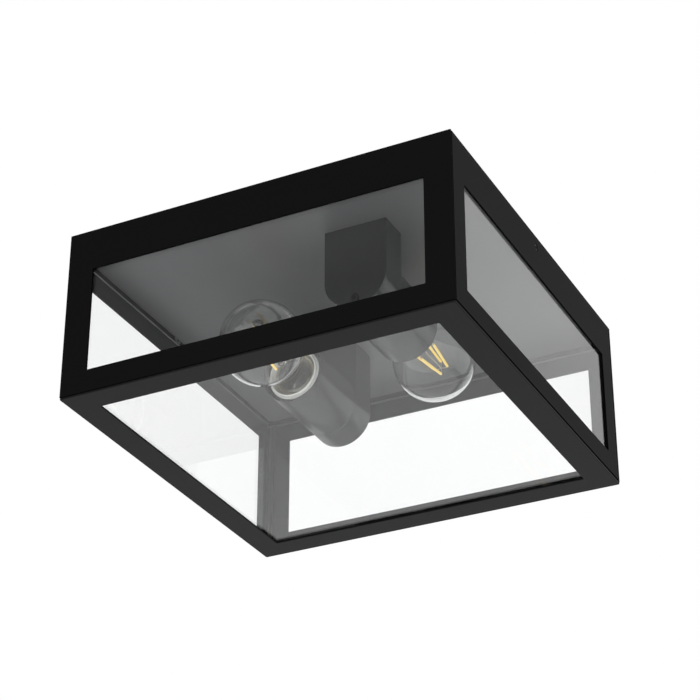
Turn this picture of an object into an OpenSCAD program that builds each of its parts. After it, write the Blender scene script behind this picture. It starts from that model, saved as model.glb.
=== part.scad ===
// Flush ceiling lantern for a porch: a glazed sheet-steel cage that slides up over a shallow
// ceiling pan and is clamped to it by two set screws, with two lamps lying side by side and
// pointing opposite ways under the pan.
// Origin: centre of the ceiling face, in the ceiling plane. +Z is up, the front is at -Y.
// Millimetres. Depths are measured down from the ceiling.

/* [Cage] */
// Width of the cage, left to right
cage_w = 290; // [270:1:320]
// Depth of the cage, front to rear
cage_d = 290; // [270:1:320]
// Depth of the underside of the cage below the ceiling
cage_drop = 130; // [124:1:160]
// Gap between the cage and the ceiling
ceiling_gap = 0.5; // [0.3:0.1:1]
// Thickness of the cage's sheet steel
sheet_t = 1.5; // [1.2:0.1:2]
// Rounding of the upright outer edges
edge_r = 1.2; // [0.5:0.1:1.2]
// Joint left open between two sheets
seam = 0.25; // [0.15:0.05:0.4]
// Height of the rail above the side windows
top_rail_h = 32; // [28:1:40]
// Height of the rail below the side windows
bottom_rail_h = 18.5; // [12:0.5:24]
// Width of the stiles beside the windows
stile_w = 20; // [14:0.5:26]
// Width of the rim around the bottom window
bottom_rim_w = 20; // [14:0.5:26]

/* [Glazing] */
// Thickness of the panes
glass_t = 3; // [2:0.5:4]
// Gap round the bottom pane and at the ends of the side panes
glass_gap = 0.3; // [0.2:0.1:0.6]
// Depth of the side panes' top edge below the ceiling
glass_top = 17; // [16:0.5:22]
// Leg of the clear sealant beads in the corners
bead_leg = 2.5; // [1.5:0.5:4]
// Width of the tabs folded over the side panes
tab_w = 12; // [8:1:20]
// Thickness of the tabs
tab_t = 0.9; // [0.6:0.1:1]
// Height of a tab's upright leg
tab_leg = 9; // [6:1:12]
// Distance from a pane's end to the middle of its nearest tab
tab_inset = 34; // [20:1:80]

/* [Ceiling pan] */
// Depth of the pan's underside below the ceiling
pan_depth = 12.5; // [12:0.5:14]
// Thickness of the pan's sheet steel
pan_t = 1.5; // [1:0.1:2]
// Gap between the pan and the inside of the cage
pan_gap = 1.5; // [1.4:0.1:2]
// Diameter of the wire holes above the lamp brackets
wire_hole_d = 9; // [7:0.5:11]

/* [Crossbar] */
// Length of the crossbar
bar_l = 184; // [170:1:200]
// Width of the crossbar
bar_w = 30; // [26:1:36]
// Thickness of the crossbar's steel
bar_t = 2; // [1.5:0.1:2.5]
// Height of the crossbar over its turned-down edges
bar_h = 6; // [5:0.5:7]
// Distance between the middles of the two ceiling slots
slot_spacing = 80; // [70:1:90]
// Length of a ceiling slot
slot_l = 20; // [14:1:24]
// Width of a ceiling slot
slot_w = 5.5; // [4.5:0.5:6.5]
// Distance between the two screws that carry the pan
pan_screw_spacing = 150; // [136:1:160]
// Thread diameter of the pan screws
pan_screw_d = 4; // [3:0.5:5]
// Outer diameter of the cable bush's barrel
bush_d = 20; // [16:1:22]
// Bore of the cable bush
bush_bore = 11; // [8:0.5:13]
// Width of the bush's flange beyond its barrel
bush_flange = 2; // [1:0.5:3]
// Thickness of the bush's flange
bush_flange_t = 1.6; // [1:0.2:2.4]
// Radial clearance of the bush in the crossbar
bush_clear = 0.1; // [0.05:0.01:0.1]

/* [Fixing screws] */
// Thread diameter of the two set screws that clamp the cage
set_screw_d = 5; // [4:0.5:6]
// Length of a set screw
set_screw_l = 2.8; // [2.4:0.1:2.9]
// Depth of the set screws below the ceiling
set_screw_depth = 9.5; // [8.5:0.1:9.8]
// Diameter of a set screw's point where it bears
set_point_d = 2.6; // [2:0.1:3]
// Size across the flats of a set screw's hexagon socket
set_socket = 2.5; // [2:0.1:3]
// Width of the ring round a press nut's thread
nut_ring = 2; // [1.5:0.1:3]
// Height of a press nut inside the cage
nut_h = 1.1; // [0.8:0.1:1.1]
// Radial clearance between a screw and the thread it turns in
thread_clear = 0.08; // [0.05:0.01:0.1]

/* [Wiring] */
// Length of the terminal block
terminal_l = 30; // [26:1:36]
// Width of the terminal block
terminal_w = 15; // [12:1:18]
// Height of the terminal block
terminal_h = 9; // [7:0.5:9.5]
// Distance from the middle of the pan to the middle of the terminal block
terminal_y = 30; // [26:1:36]
// Distance between two poles of the terminal block
pole_pitch = 9; // [8:0.5:10]
// Diameter of a terminal's clamping screw
terminal_screw_d = 3.4; // [2.6:0.2:4]
// Distance from the middle of the terminal block to the earth stud
earth_x = 30; // [26:1:40]
// Diameter of one insulated lead
lead_d = 2.2; // [1.6:0.1:2.4]
// Distance between the two leads of a lamp
lead_pitch = 3; // [2.6:0.1:3.4]
// Clear length of a lead before it turns toward its lamp
lead_loop = 4; // [3:0.5:6]
// Height of a lead over the pan
lead_lift = 0.15; // [0.1:0.05:0.5]

/* [Lamps] */
// Distance from the middle of the lantern to a lamp's axis
lamp_x = 46.8; // [44:0.1:52]
// Distance that both lamps are set toward the front
lamp_forward = 1.7; // [0:0.1:3]
// Depth of the left lamp's axis below the ceiling
left_lamp_drop = 59.5; // [52:0.5:64]
// Depth of the right lamp's axis below the ceiling
right_lamp_drop = 53; // [50:0.5:64]
// Distance from the middle of the lantern to the closed end of a lamp
lamp_end = 83; // [80:1:92]
// Distance from the middle of the lantern to a lamp's mouth
lamp_mouth = 2; // [0:0.5:8]
// Outer diameter of the lamp tube and width of its bracket
tube_d = 46.5; // [46:0.5:50]
// Thickness of the lamp tube and bracket
tube_t = 1.2; // [0.8:0.1:1.6]
// Length of the bracket along the lamp
bracket_l = 24; // [20:1:30]
// Length of the bracket's collar inside the tube
collar_l = 6; // [4:0.5:8]
// Radial clearance of the collar in the tube
collar_clear = 0.1; // [0.05:0.01:0.1]
// Distance from the lamp's axis down to the holder's screw
holder_screw_drop = 17; // [15:0.5:17]
// Thread diameter of the holder and bracket screws
lamp_screw_d = 4; // [3:0.5:4]
// Distance between the two screws that carry a bracket
foot_screw_spacing = 30; // [28:1:34]

/* [Lampholder] */
// Outer diameter of the holder's flange
rim_d = 40; // [38:0.5:42]
// Outer diameter of the rounded lip in front of the flange
lip_d = 37.2; // [36.8:0.1:37.8]
// Wall of the lip
lip_w = 1.2; // [1:0.1:1.6]
// Distance of the lip behind the mouth of the tube
lip_set_back = 0.5; // [0.3:0.1:2]
// Distance of the flange behind the lip
rim_step = 2.8; // [1.5:0.1:4]
// Diameter of the holder's base
holder_base_d = 40; // [39:0.5:40.5]
// Length of the holder's base
holder_base_l = 18; // [14:1:19]
// Depth of the holder's well behind its lip
well_depth = 33; // [32:1:36]
// Wall of the screw shell
shell_t = 0.5; // [0.4:0.1:0.8]
// Distance from the lip to the front of the screw shell
shell_set_back = 3.5; // [2.5:0.5:5]
// Flare round the front of the screw shell
shell_flare = 1.4; // [0.8:0.1:2]
// Depth of the seat that the screw shell stands in
shell_seat = 3; // [2:0.5:3.5]
// Radial clearance of the screw shell in its seat
seat_clear = 0.1; // [0.05:0.01:0.1]
// Radial clearance between the bulb's cap and the screw shell
cap_clear = 0.3; // [0.2:0.05:0.4]

/* [Bulbs] */
// Largest diameter of the bulb's glass
bulb_d = 60; // [56:1:64]
// Length of the bulb, contact to nose
bulb_l = 105; // [102:1:112]
// Depth of the bulb's contact behind the mouth of the tube
bulb_seat = 30; // [29:0.5:31]
// Diameter of the glass at the neck
neck_d = 28; // [26:0.5:30]
// Diameter of the glass inside the cap
tail_d = 24.6; // [22:0.2:24.8]
// Distance from the contact to where the glass starts to swell
neck_end = 30; // [28:1:34]
// Thickness of the bulb's glass
bulb_glass_t = 0.8; // [0.6:0.1:1.2]
// Diameter of the screw cap over its thread
cap_d = 26.4; // [25.6:0.1:26.6]
// Length of the screw cap's metal, without the contact
cap_l = 21; // [19:0.5:22]
// Length of glass inside the cap
tail_l = 4; // [3:0.5:6]
// Thickness of the cap's metal
cap_t = 0.5; // [0.3:0.1:0.8]
// Length of the black insulator behind the cap
insulator_l = 3.4; // [3:0.2:4]
// Diameter of the centre contact
contact_d = 10; // [9:0.5:11]
// Height of the centre contact
contact_h = 1.6; // [1.2:0.1:2]
// Distance from the contact to the top of the glass stem
stem_top = 52; // [46:1:56]
// Diameter of the stem's tube
stem_d = 6; // [4:0.5:7]
// Diameter of one filament stick
stick_d = 2; // [1.6:0.1:2.4]
// Length of one filament stick
stick_l = 36; // [30:1:38]
// Number of filament sticks
stick_count = 4; // [2:1:6]
// Distance of the sticks from the axis at the stem's end
stick_r_low = 9.5; // [8:0.5:11]
// Distance of the sticks from the axis at the nose's end
stick_r_high = 5; // [4:0.5:8]
// Length of the metal tab at each end of a stick
tab_wire_l = 1.2; // [0.8:0.1:2]
// Diameter of the support wires
wire_d = 0.7; // [0.5:0.1:1]
// Diameter of the rod that carries the sticks' upper ends
mast_d = 1.4; // [1:0.1:2]
// Radial clearance of the wires in the glass of the stem
wire_clear = 0.05; // [0.03:0.01:0.1]

/* [Hidden] */

$fn = 64;

black_coat = "#1d1d1f";
pan_coat = "#3a3b3d";
zinc = "#b9bcc0";
clear_glass = [0.85, 0.93, 0.92, 0.35];
brass = "#b8923e";
cream = "#e9e4d4";

inner_w = cage_w - 2 * sheet_t;
inner_d = cage_d - 2 * sheet_t;
panel_bottom = -cage_drop + sheet_t + seam;
window_bottom = -cage_drop + bottom_rail_h;
side_window_w = cage_w - 2 * stile_w;
side_window_d = cage_d - 2 * stile_w;
glass_w = inner_w - 2 * glass_gap;
glass_d = inner_d - 2 * glass_gap;
glass_floor = -cage_drop + sheet_t + glass_t;
pan_w = inner_w - 2 * pan_gap;
pan_d = inner_d - 2 * pan_gap;
pan_top = -pan_depth + pan_t;
tube_r = tube_d / 2;
tube_bore_r = tube_r - tube_t;
lamp_l = lamp_end - lamp_mouth;
lip_y = lamp_l - lip_set_back;
well_floor = lip_y - well_depth;
well_r = lip_d / 2 - lip_w;
shell_r = cap_d / 2 + cap_clear;
shell_back = well_floor - shell_seat;
shell_front = lip_y - shell_set_back;
contact_y = lamp_l - bulb_seat;
foot_y = bracket_l / 2;
wire_r = wire_hole_d / 2;
screw_head_r = lamp_screw_d;
screw_head_h = lamp_screw_d * 0.55;
terminal_z = pan_top + terminal_h;
entry_z = pan_top + terminal_h * 0.36;
run_z = pan_top + lead_d / 2 + lead_lift;
bulb_r = bulb_d / 2;
bulb_centre = bulb_l - bulb_r;
neck_r = neck_d / 2;
// radius of the arc that leads the neck into the globe, tangent to both
swell_r = (pow(bulb_centre - neck_end, 2) + pow(neck_r, 2) - pow(bulb_r, 2)) / (2 * (bulb_r - neck_r));
swell_end = neck_end + (bulb_centre - neck_end) * swell_r / (swell_r + bulb_r);
cap_start = contact_h + insulator_l;
cap_end = cap_start + cap_l;
glass_start = cap_end - tail_l;
tail_r = tail_d / 2;
stick_lean = atan((stick_r_low - stick_r_high) / stick_l);
stick_end = stick_l / cos(stick_lean);
// where the wires meet the sticks' tabs: radius and height of the lower ones, then of the upper ones
low_tab = [stick_r_low + tab_wire_l * sin(stick_lean), stem_top - tab_wire_l * cos(stick_lean)];
high_tab_r = stick_r_high - tab_wire_l * sin(stick_lean);
wire_top = stem_top + stick_l + tab_wire_l * cos(stick_lean);
wire_root = low_tab.y - 1;
set_screw_z = -set_screw_depth;

// ---- building blocks ----

// A cylinder along +Y from y0 to y1
module rod(r, y0, y1, r2 = undef) {
    translate([0, y0, 0]) rotate([-90, 0, 0]) cylinder(r1 = r, r2 = is_undef(r2) ? r : r2, h = y1 - y0);
}

// A revolved profile about +Y: the 2-D x is the radius and the 2-D y is the distance along +Y
module turned() {
    rotate([-90, 0, 0]) rotate_extrude($fn = 96) children();
}

// Depth of a lamp's axis: 1 is the left lamp and 2 the right one
function drop(which) = which == 1 ? left_lamp_drop : right_lamp_drop;

// Children on the lamp's own axis, with +Y from the closed end to the mouth
module at_lamp(which) {
    translate([0, -lamp_forward, -drop(which)]) rotate([0, 0, which == 1 ? 180 : 0])
        translate([lamp_x, -lamp_end, 0]) children();
}

// Children on the bulb's own axis, with +Y from the contact to the nose
module at_bulb(which) {
    at_lamp(which) translate([0, contact_y, 0]) children();
}

// Children at both ends of a distance along X
module pair_x(distance) {
    for (side = [-1, 1]) translate([side * distance / 2, 0, 0]) children();
}

// A pan-head screw along -Z with its head's seat at z = 0
module pan_head_screw(d, l, head_r, head_h) {
    difference() {
        union() {
            cylinder(r = head_r, h = head_h * 0.55);
            translate([0, 0, head_h * 0.55]) cylinder(r1 = head_r, r2 = head_r * 0.72, h = head_h * 0.45);
            translate([0, 0, -l]) cylinder(r = d / 2, h = l);
        }
        for (turn = [0, 90]) rotate([0, 0, turn])
            translate([-head_r * 0.55, -head_h * 0.14, head_h * 0.5]) cube([head_r * 1.1, head_h * 0.28, head_h]);
    }
}

// ---- cage ----

// A side panel standing on its long edge: frame w wide with its window, from x = -w/2, y = 0..sheet_t
module side_frame(w, window_w, corner_r) {
    h = -ceiling_gap - panel_bottom;
    difference() {
        translate([0, 0, panel_bottom]) linear_extrude(h) intersection() {
            translate([-w / 2, 0]) square([w, sheet_t]);
            union() {
                translate([-w / 2 + corner_r, 0]) square([w - 2 * corner_r, sheet_t]);
                translate([-w / 2, corner_r]) square([w, sheet_t]);
                if (corner_r > 0) pair_x(w - 2 * corner_r) translate([0, corner_r]) circle(corner_r);
            }
        }
        translate([-window_w / 2, -sheet_t, window_bottom])
            cube([window_w, 3 * sheet_t, -top_rail_h - window_bottom]);
    }
}

module front_panel() {
    color(black_coat) translate([0, -cage_d / 2, 0]) side_frame(cage_w, side_window_w, edge_r);
}

module rear_panel() {
    color(black_coat) rotate([0, 0, 180]) translate([0, -cage_d / 2, 0]) side_frame(cage_w, side_window_w, edge_r);
}

// A left or right panel, between the front and rear ones, with its set screw's hole
module end_panel() {
    difference() {
        rotate([0, 0, 90]) translate([0, -cage_w / 2, 0]) side_frame(inner_d - 2 * seam, side_window_d, 0);
        translate([cage_w / 2 - 3 * sheet_t, 0, set_screw_z]) rotate([0, 90, 0])
            cylinder(r = set_screw_d / 2 + thread_clear, h = 6 * sheet_t);
    }
}

module right_panel() {
    color(black_coat) end_panel();
}

module left_panel() {
    color(black_coat) rotate([0, 0, 180]) end_panel();
}

module bottom_frame() {
    color(black_coat) translate([0, 0, -cage_drop]) linear_extrude(sheet_t) difference() {
        union() {
            square([cage_w - 2 * edge_r, cage_d], center = true);
            square([cage_w, cage_d - 2 * edge_r], center = true);
            for (x = [-1, 1], y = [-1, 1])
                translate([x * (cage_w / 2 - edge_r), y * (cage_d / 2 - edge_r)]) circle(edge_r);
        }
        square([cage_w - 2 * bottom_rim_w, cage_d - 2 * bottom_rim_w], center = true);
    }
}

// A pane standing on the bottom pane, against the inside of the front panel
module side_pane(w, wall_y) {
    translate([-w / 2, -wall_y, glass_floor]) cube([w, glass_t, -glass_top - glass_floor]);
}

module front_glass() {
    color(clear_glass) side_pane(glass_w, inner_d / 2);
}

module rear_glass() {
    color(clear_glass) rotate([0, 0, 180]) side_pane(glass_w, inner_d / 2);
}

module right_glass() {
    color(clear_glass) rotate([0, 0, 90]) side_pane(inner_d - 2 * glass_t - 2 * glass_gap, inner_w / 2);
}

module left_glass() {
    color(clear_glass) rotate([0, 0, -90]) side_pane(inner_d - 2 * glass_t - 2 * glass_gap, inner_w / 2);
}

module bottom_glass() {
    color(clear_glass) translate([-glass_w / 2, -glass_d / 2, glass_floor - glass_t]) cube([glass_w, glass_d, glass_t]);
}

// Two tabs folded over the top edge of the front pane
module tab_pair(w, wall_y) {
    pair_x(w - 2 * tab_inset) translate([-tab_w / 2, -wall_y, -glass_top]) {
        cube([tab_w, glass_t, tab_t]);
        cube([tab_w, tab_t, tab_leg]);
    }
}

module glass_tabs() {
    color(black_coat) {
        for (turn = [0, 180]) rotate([0, 0, turn]) tab_pair(glass_w, inner_d / 2);
        for (turn = [90, -90]) rotate([0, 0, turn]) tab_pair(glass_d, inner_w / 2);
    }
}

// Clear beads where two side panes meet, hollow to the room like a finger-smoothed fillet
module sealant_beads() {
    color([0.9, 0.93, 0.92, 0.4]) for (x = [0, 1], y = [0, 1]) mirror([x, 0, 0]) mirror([0, y, 0])
        translate([inner_w / 2 - glass_t, inner_d / 2 - glass_t, glass_floor])
            linear_extrude(-glass_top - glass_floor) difference() {
                translate([-bead_leg, -bead_leg]) square(bead_leg);
                translate([-bead_leg, -bead_leg]) circle(bead_leg * 0.93);
            }
}

// Flat press nuts that carry the set screws' threads inside the end panels
module press_nuts() {
    color(zinc) for (turn = [0, 180]) rotate([0, 0, turn])
        translate([inner_w / 2 - nut_h, 0, set_screw_z]) rotate([0, 90, 0]) difference() {
            cylinder(r = set_screw_d / 2 + thread_clear + nut_ring, h = nut_h, $fn = 6);
            translate([0, 0, -nut_h]) cylinder(r = set_screw_d / 2 + thread_clear, h = 3 * nut_h);
        }
}

// ---- fixing screws ----

// Set screw of the right panel, its point bearing on the pan's flange
module set_screw() {
    point_h = (set_screw_d - set_point_d) / 2 * 0.6;
    translate([pan_w / 2, 0, set_screw_z]) rotate([0, 90, 0]) difference() {
        union() {
            cylinder(r1 = set_point_d / 2, r2 = set_screw_d / 2, h = point_h);
            translate([0, 0, point_h]) cylinder(r = set_screw_d / 2, h = set_screw_l - point_h);
        }
        translate([0, 0, set_screw_l * 0.45])
            cylinder(r = set_socket / sqrt(3), h = set_screw_l, $fn = 6);
    }
}

module right_set_screw() {
    color("#141414") set_screw();
}

module left_set_screw() {
    color("#141414") rotate([0, 0, 180]) set_screw();
}

// ---- ceiling pan and crossbar ----

module ceiling_pan() {
    color(pan_coat) difference() {
        translate([-pan_w / 2, -pan_d / 2, -pan_depth]) cube([pan_w, pan_d, pan_depth]);
        translate([-pan_w / 2 + pan_t, -pan_d / 2 + pan_t, pan_top]) cube([pan_w - 2 * pan_t, pan_d - 2 * pan_t, pan_depth]);
        pair_x(pan_screw_spacing) translate([0, 0, -2 * pan_depth])
            cylinder(r = pan_screw_d / 2 + 0.25, h = 3 * pan_depth);
        for (which = [1, 2]) at_lamp(which) translate([0, foot_y, 0]) {
            cylinder(r = wire_r, h = cage_drop);
            pair_x(foot_screw_spacing) cylinder(r = lamp_screw_d / 2 + 0.2, h = cage_drop);
        }
    }
}

// Channel against the ceiling, open downward, with slots for the ceiling screws
module ceiling_crossbar() {
    color(zinc) difference() {
        translate([-bar_l / 2, -bar_w / 2, -bar_h]) cube([bar_l, bar_w, bar_h]);
        translate([-bar_l, -bar_w / 2 + bar_t, -bar_h - bar_t]) cube([2 * bar_l, bar_w - 2 * bar_t, bar_h]);
        translate([0, 0, -bar_h]) cylinder(r = bush_d / 2 + bush_clear, h = 2 * bar_h);
        pair_x(pan_screw_spacing) translate([0, 0, -bar_h])
            cylinder(r = pan_screw_d / 2 + thread_clear, h = 2 * bar_h);
        pair_x(slot_spacing) translate([0, 0, -bar_h]) linear_extrude(2 * bar_h) union() {
            square([slot_l - slot_w, slot_w], center = true);
            pair_x(slot_l - slot_w) circle(slot_w / 2);
        }
    }
}

// Screws from below, through the pan into the crossbar
module pan_screws() {
    color(black_coat) pair_x(pan_screw_spacing) translate([0, 0, -pan_depth]) rotate([180, 0, 0])
        pan_head_screw(pan_screw_d, pan_depth - 0.3, pan_screw_d, pan_screw_d * 0.6);
}

// Bush pushed into the crossbar from below, where the supply cable comes in
module cable_bush() {
    color("#2b2b2b") difference() {
        union() {
            translate([0, 0, -bar_t]) cylinder(r = bush_d / 2, h = bar_t);
            translate([0, 0, -bar_t - bush_flange_t]) cylinder(r = bush_d / 2 + bush_flange, h = bush_flange_t);
        }
        translate([0, 0, -bar_h]) cylinder(r = bush_bore / 2, h = 2 * bar_h);
    }
}

// ---- wiring ----

module at_poles() {
    for (pole = [-1, 0, 1]) translate([pole * pole_pitch, terminal_y, 0]) children();
}

// Three-pole block with a wire entry on both sides of each pole
module terminal_block() {
    color("#e8e6df") difference() {
        union() {
            translate([-terminal_l / 2, terminal_y - terminal_w / 2, pan_top])
                cube([terminal_l, terminal_w, terminal_h * 0.55]);
            at_poles() translate([-pole_pitch * 0.42, -terminal_w * 0.36, pan_top])
                cube([pole_pitch * 0.84, terminal_w * 0.72, terminal_h]);
        }
        at_poles() {
            translate([0, -terminal_w, entry_z]) rotate([-90, 0, 0])
                cylinder(r = lead_d / 2 + 0.3, h = 2 * terminal_w);
            for (side = [-1, 1]) translate([0, side * terminal_w * 0.2, terminal_z - terminal_h * 0.45])
                cylinder(r = terminal_screw_d / 2 + 0.1, h = terminal_h);
        }
    }
}

module terminal_screws() {
    color(brass) at_poles() for (side = [-1, 1]) translate([0, side * terminal_w * 0.2, 0]) difference() {
        translate([0, 0, terminal_z - terminal_h * 0.45]) cylinder(r = terminal_screw_d / 2, h = terminal_h * 0.38);
        translate([-terminal_screw_d, -0.35, terminal_z - terminal_h * 0.2]) cube([2 * terminal_screw_d, 0.7, terminal_h]);
    }
}

// Stud with its nut on the earth lead's lug
module earth_stud() {
    color(brass) translate([earth_x, terminal_y, pan_top]) {
        cylinder(r = 2, h = 7);
        translate([0, 0, 0.8]) cylinder(r = 4.1, h = 3.2, $fn = 6);
    }
}

// A lead along the given points, with round corners
module lead(points) {
    for (i = [0 : len(points) - 2]) translate(points[i]) {
        run = points[i + 1] - points[i];
        rotate([0, acos(run.z / norm(run)), atan2(run.y, run.x)]) cylinder(r = lead_d / 2, h = norm(run), $fn = 16);
        if (i > 0) sphere(lead_d / 2, $fn = 16);
    }
}

// A lead from a pole over the pan and down through a bracket into its holder
module lamp_lead(which, pole, inner) {
    flip = which == 1 ? -1 : 1;
    pole_x = flip * pole * pole_pitch;
    face_y = flip * terminal_y - terminal_w / 2;
    turn_y = face_y - lead_loop - (inner ? lead_pitch : 0);
    drop_x = lamp_x + (inner ? -1 : 1) * lead_pitch / 2;
    drop_y = foot_y - lamp_end - flip * lamp_forward;
    rotate([0, 0, which == 1 ? 180 : 0]) lead([
        [pole_x, face_y + 3, entry_z], [pole_x, face_y - 1, entry_z], [pole_x, turn_y, run_z],
        [drop_x, turn_y, run_z], [drop_x, drop_y, run_z], [drop_x, drop_y, -drop(which)],
        [drop_x, drop_y + foot_y + 2, -drop(which)]
    ]);
}

module live_leads() {
    color("#7a4a2a") {
        lamp_lead(1, -1, false);
        lamp_lead(2, -1, true);
    }
}

module neutral_leads() {
    color("#3c5f96") {
        lamp_lead(1, 0, true);
        lamp_lead(2, 0, false);
    }
}

// Earth lead with its lug under the stud's nut
module earth_lead() {
    face_y = terminal_y + terminal_w / 2;
    turn_y = face_y + lead_loop;
    color("#8fae3a") {
        lead([
            [pole_pitch, face_y - 3, entry_z], [pole_pitch, face_y + 1, entry_z], [pole_pitch, turn_y, run_z],
            [earth_x, turn_y, run_z], [earth_x, terminal_y + 5, run_z]
        ]);
        translate([earth_x, terminal_y, pan_top]) difference() {
            union() {
                cylinder(r = 4.4, h = 0.8);
                translate([-1.5, 0, 0]) cube([3, 6, 0.8]);
            }
            translate([0, 0, -1]) cylinder(r = 2 + thread_clear, h = 3);
        }
    }
}

// ---- lamp housings ----

// Outline of a bracket seen along the lamp: round below, square up to the pan
module bracket_outline(r, top) {
    circle(r);
    translate([-r, 0]) square([2 * r, top]);
}

// Hollow bracket under the pan, with a closed end, a foot under the pan and a collar for the tube
module lamp_bracket(which) {
    top = drop(which) - pan_depth;
    color(black_coat) at_lamp(which) difference() {
        union() {
            rotate([90, 0, 0]) translate([0, 0, -bracket_l]) linear_extrude(bracket_l) bracket_outline(tube_r, top);
            rod(tube_bore_r - collar_clear, bracket_l, bracket_l + collar_l);
        }
        rotate([90, 0, 0]) translate([0, 0, -bracket_l + tube_t]) linear_extrude(bracket_l - 2 * tube_t)
            bracket_outline(tube_r - tube_t, top - tube_t);
        rod(tube_bore_r - collar_clear - tube_t, bracket_l, bracket_l + 2 * collar_l);
        rod(wire_r, 2 * tube_t, bracket_l + collar_l);
        translate([0, foot_y, 0]) {
            cylinder(r = wire_r, h = 2 * top);
            pair_x(foot_screw_spacing) cylinder(r = lamp_screw_d / 2 + thread_clear, h = 2 * top);
        }
        translate([0, 0, -holder_screw_drop]) rod(lamp_screw_d / 2 + 0.2, -bracket_l, 2 * bracket_l);
    }
}

// Screws from inside the pan, down into the brackets' feet
module foot_screws() {
    color(zinc) for (which = [1, 2]) at_lamp(which) translate([0, foot_y, drop(which) + pan_top])
        pair_x(foot_screw_spacing) pan_head_screw(lamp_screw_d, pan_t + tube_t + 3, screw_head_r, screw_head_h);
}

// Long screws through the closed ends and the brackets into the holders' bases
module holder_screws() {
    color(zinc) for (which = [1, 2]) at_lamp(which) translate([0, 0, -holder_screw_drop]) rotate([90, 0, 0])
        pan_head_screw(lamp_screw_d, bracket_l + 8, screw_head_r * 0.85, screw_head_h * 0.8);
}

// Tube pushed over the bracket's collar
module lamp_tube(which) {
    color(black_coat) at_lamp(which) difference() {
        rod(tube_r, bracket_l, lamp_l);
        rod(tube_bore_r, bracket_l - 1, lamp_l + 1);
    }
}

// Cream holder: a base on the bracket, a skirt with a flange and a rounded lip, and a well
module lampholder_body(which) {
    skirt_y = bracket_l + holder_base_l;
    lip_r = lip_w / 2;
    color(cream) at_lamp(which) difference() {
        union() {
            rod(holder_base_d / 2, bracket_l, skirt_y);
            rod(holder_base_d / 2, skirt_y, skirt_y + 5, rim_d / 2);
            rod(rim_d / 2, skirt_y + 5, lip_y - rim_step);
            rod(lip_d / 2, skirt_y + 5, lip_y - lip_r);
            turned() translate([lip_d / 2 - lip_r, lip_y - lip_r]) circle(lip_r);
        }
        rod(well_r, well_floor, lamp_l);
        rod(shell_r + shell_t + seat_clear, shell_back, lamp_l);
        translate([0, 0, -holder_screw_drop]) rod(lamp_screw_d / 2 + thread_clear, 0, bracket_l + 9);
        rod(wire_r, bracket_l - 1, bracket_l + 3);
    }
}

// Brass shell with a flared front, standing in its seat in the floor of the well
module screw_shell(which) {
    outer_r = shell_r + shell_t;
    flare_y = shell_front - shell_flare;
    color(brass) at_lamp(which) turned() difference() {
        polygon([
            [0, shell_back], [outer_r, shell_back], [outer_r, flare_y],
            [outer_r + shell_flare, shell_front], [0, shell_front]
        ]);
        polygon([
            [0, shell_back + shell_t], [shell_r, shell_back + shell_t], [shell_r, flare_y],
            [shell_r + shell_flare, shell_front], [shell_r + shell_flare, shell_front + 1], [0, shell_front + 1]
        ]);
        translate([0, shell_back - 1]) square([contact_d / 2 + 1.5, 3]);
    }
}

// Sprung tongue that meets the bulb's centre contact
module contact_tongue(which) {
    tip = contact_y - 0.2;
    color(brass) at_lamp(which) {
        rod(contact_d / 2 + 1.2, shell_back, shell_back + 0.8);
        translate([-3, shell_back, -3]) cube([6, 0.8 + 1.4, 1]);
        translate([-2.5, shell_back + 0.8, -3]) cube([5, tip - shell_back - 0.8, 0.8]);
        translate([-2.5, tip - 0.8, -3]) cube([5, 0.8, 6]);
    }
}

// ---- bulbs ----

// Half outline of the envelope, set in by the given thickness
module envelope_outline(inset) {
    intersection() {
        union() {
            translate([0, bulb_centre]) circle(bulb_r - inset);
            polygon([
                [0, glass_start], [tail_r - inset, glass_start], [tail_r - inset, cap_end + 0.4],
                [neck_r - inset, neck_end - 2], [neck_r - inset, neck_end], [0, neck_end]
            ]);
            difference() {
                translate([0, neck_end]) square([bulb_r, swell_end - neck_end]);
                translate([neck_r + swell_r, neck_end]) circle(swell_r + inset);
            }
        }
        square([2 * bulb_r, bulb_l]);
    }
}

module bulb_envelope(which) {
    color(clear_glass) at_bulb(which) turned() difference() {
        envelope_outline(0);
        envelope_outline(bulb_glass_t);
    }
}

module bulb_cap(which) {
    color("#c9c4b8") at_bulb(which) difference() {
        union() {
            rod(cap_d / 2 - 2.2, cap_start, cap_start + 2.5, cap_d / 2);
            rod(cap_d / 2, cap_start + 2.5, cap_end);
        }
        rod(cap_d / 2 - cap_t, cap_start + 2.5, cap_end + 1);
        rod(cap_d / 2 - 2.2 - cap_t, cap_start - 1, cap_start + 3);
    }
}

module bulb_insulator(which) {
    color("#1a1a1c") at_bulb(which) rod(contact_d / 2 + 0.6, contact_h, cap_start, cap_d / 2 - 2.2);
}

module bulb_contact(which) {
    color("#c9c4b8") at_bulb(which) rod(contact_d / 2 - 1, 0, contact_h, contact_d / 2);
}

// Stem sealed to the end of the glass: a flare that narrows to a tube with a pressed head
module bulb_stem(which) {
    rim_t = 1.2;
    flare_r = tail_r - bulb_glass_t;
    sweep_r = flare_r - stem_d / 2;
    color(clear_glass) at_bulb(which) difference() {
        turned() difference() {
            union() {
                translate([0, glass_start - rim_t]) square([tail_r, rim_t]);
                difference() {
                    translate([0, glass_start - rim_t]) square([flare_r - 0.3, sweep_r + rim_t]);
                    translate([flare_r, glass_start + sweep_r]) circle(sweep_r);
                }
                translate([0, glass_start]) square([stem_d / 2, stem_top - glass_start - 2]);
                intersection() {
                    translate([0, stem_top - 2]) circle(stem_d / 2 + 0.6);
                    translate([0, stem_top - 6]) square([stem_d, 12]);
                }
            }
            translate([0, glass_start - 2 * rim_t]) square([stem_d / 2 - 1, 14]);
        }
        sealed_wires(wire_clear);
    }
}

// Children turned to the side of each stick
module at_sides() {
    for (i = [0 : stick_count - 1]) rotate([0, i * 360 / stick_count, 0]) children();
}

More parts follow.
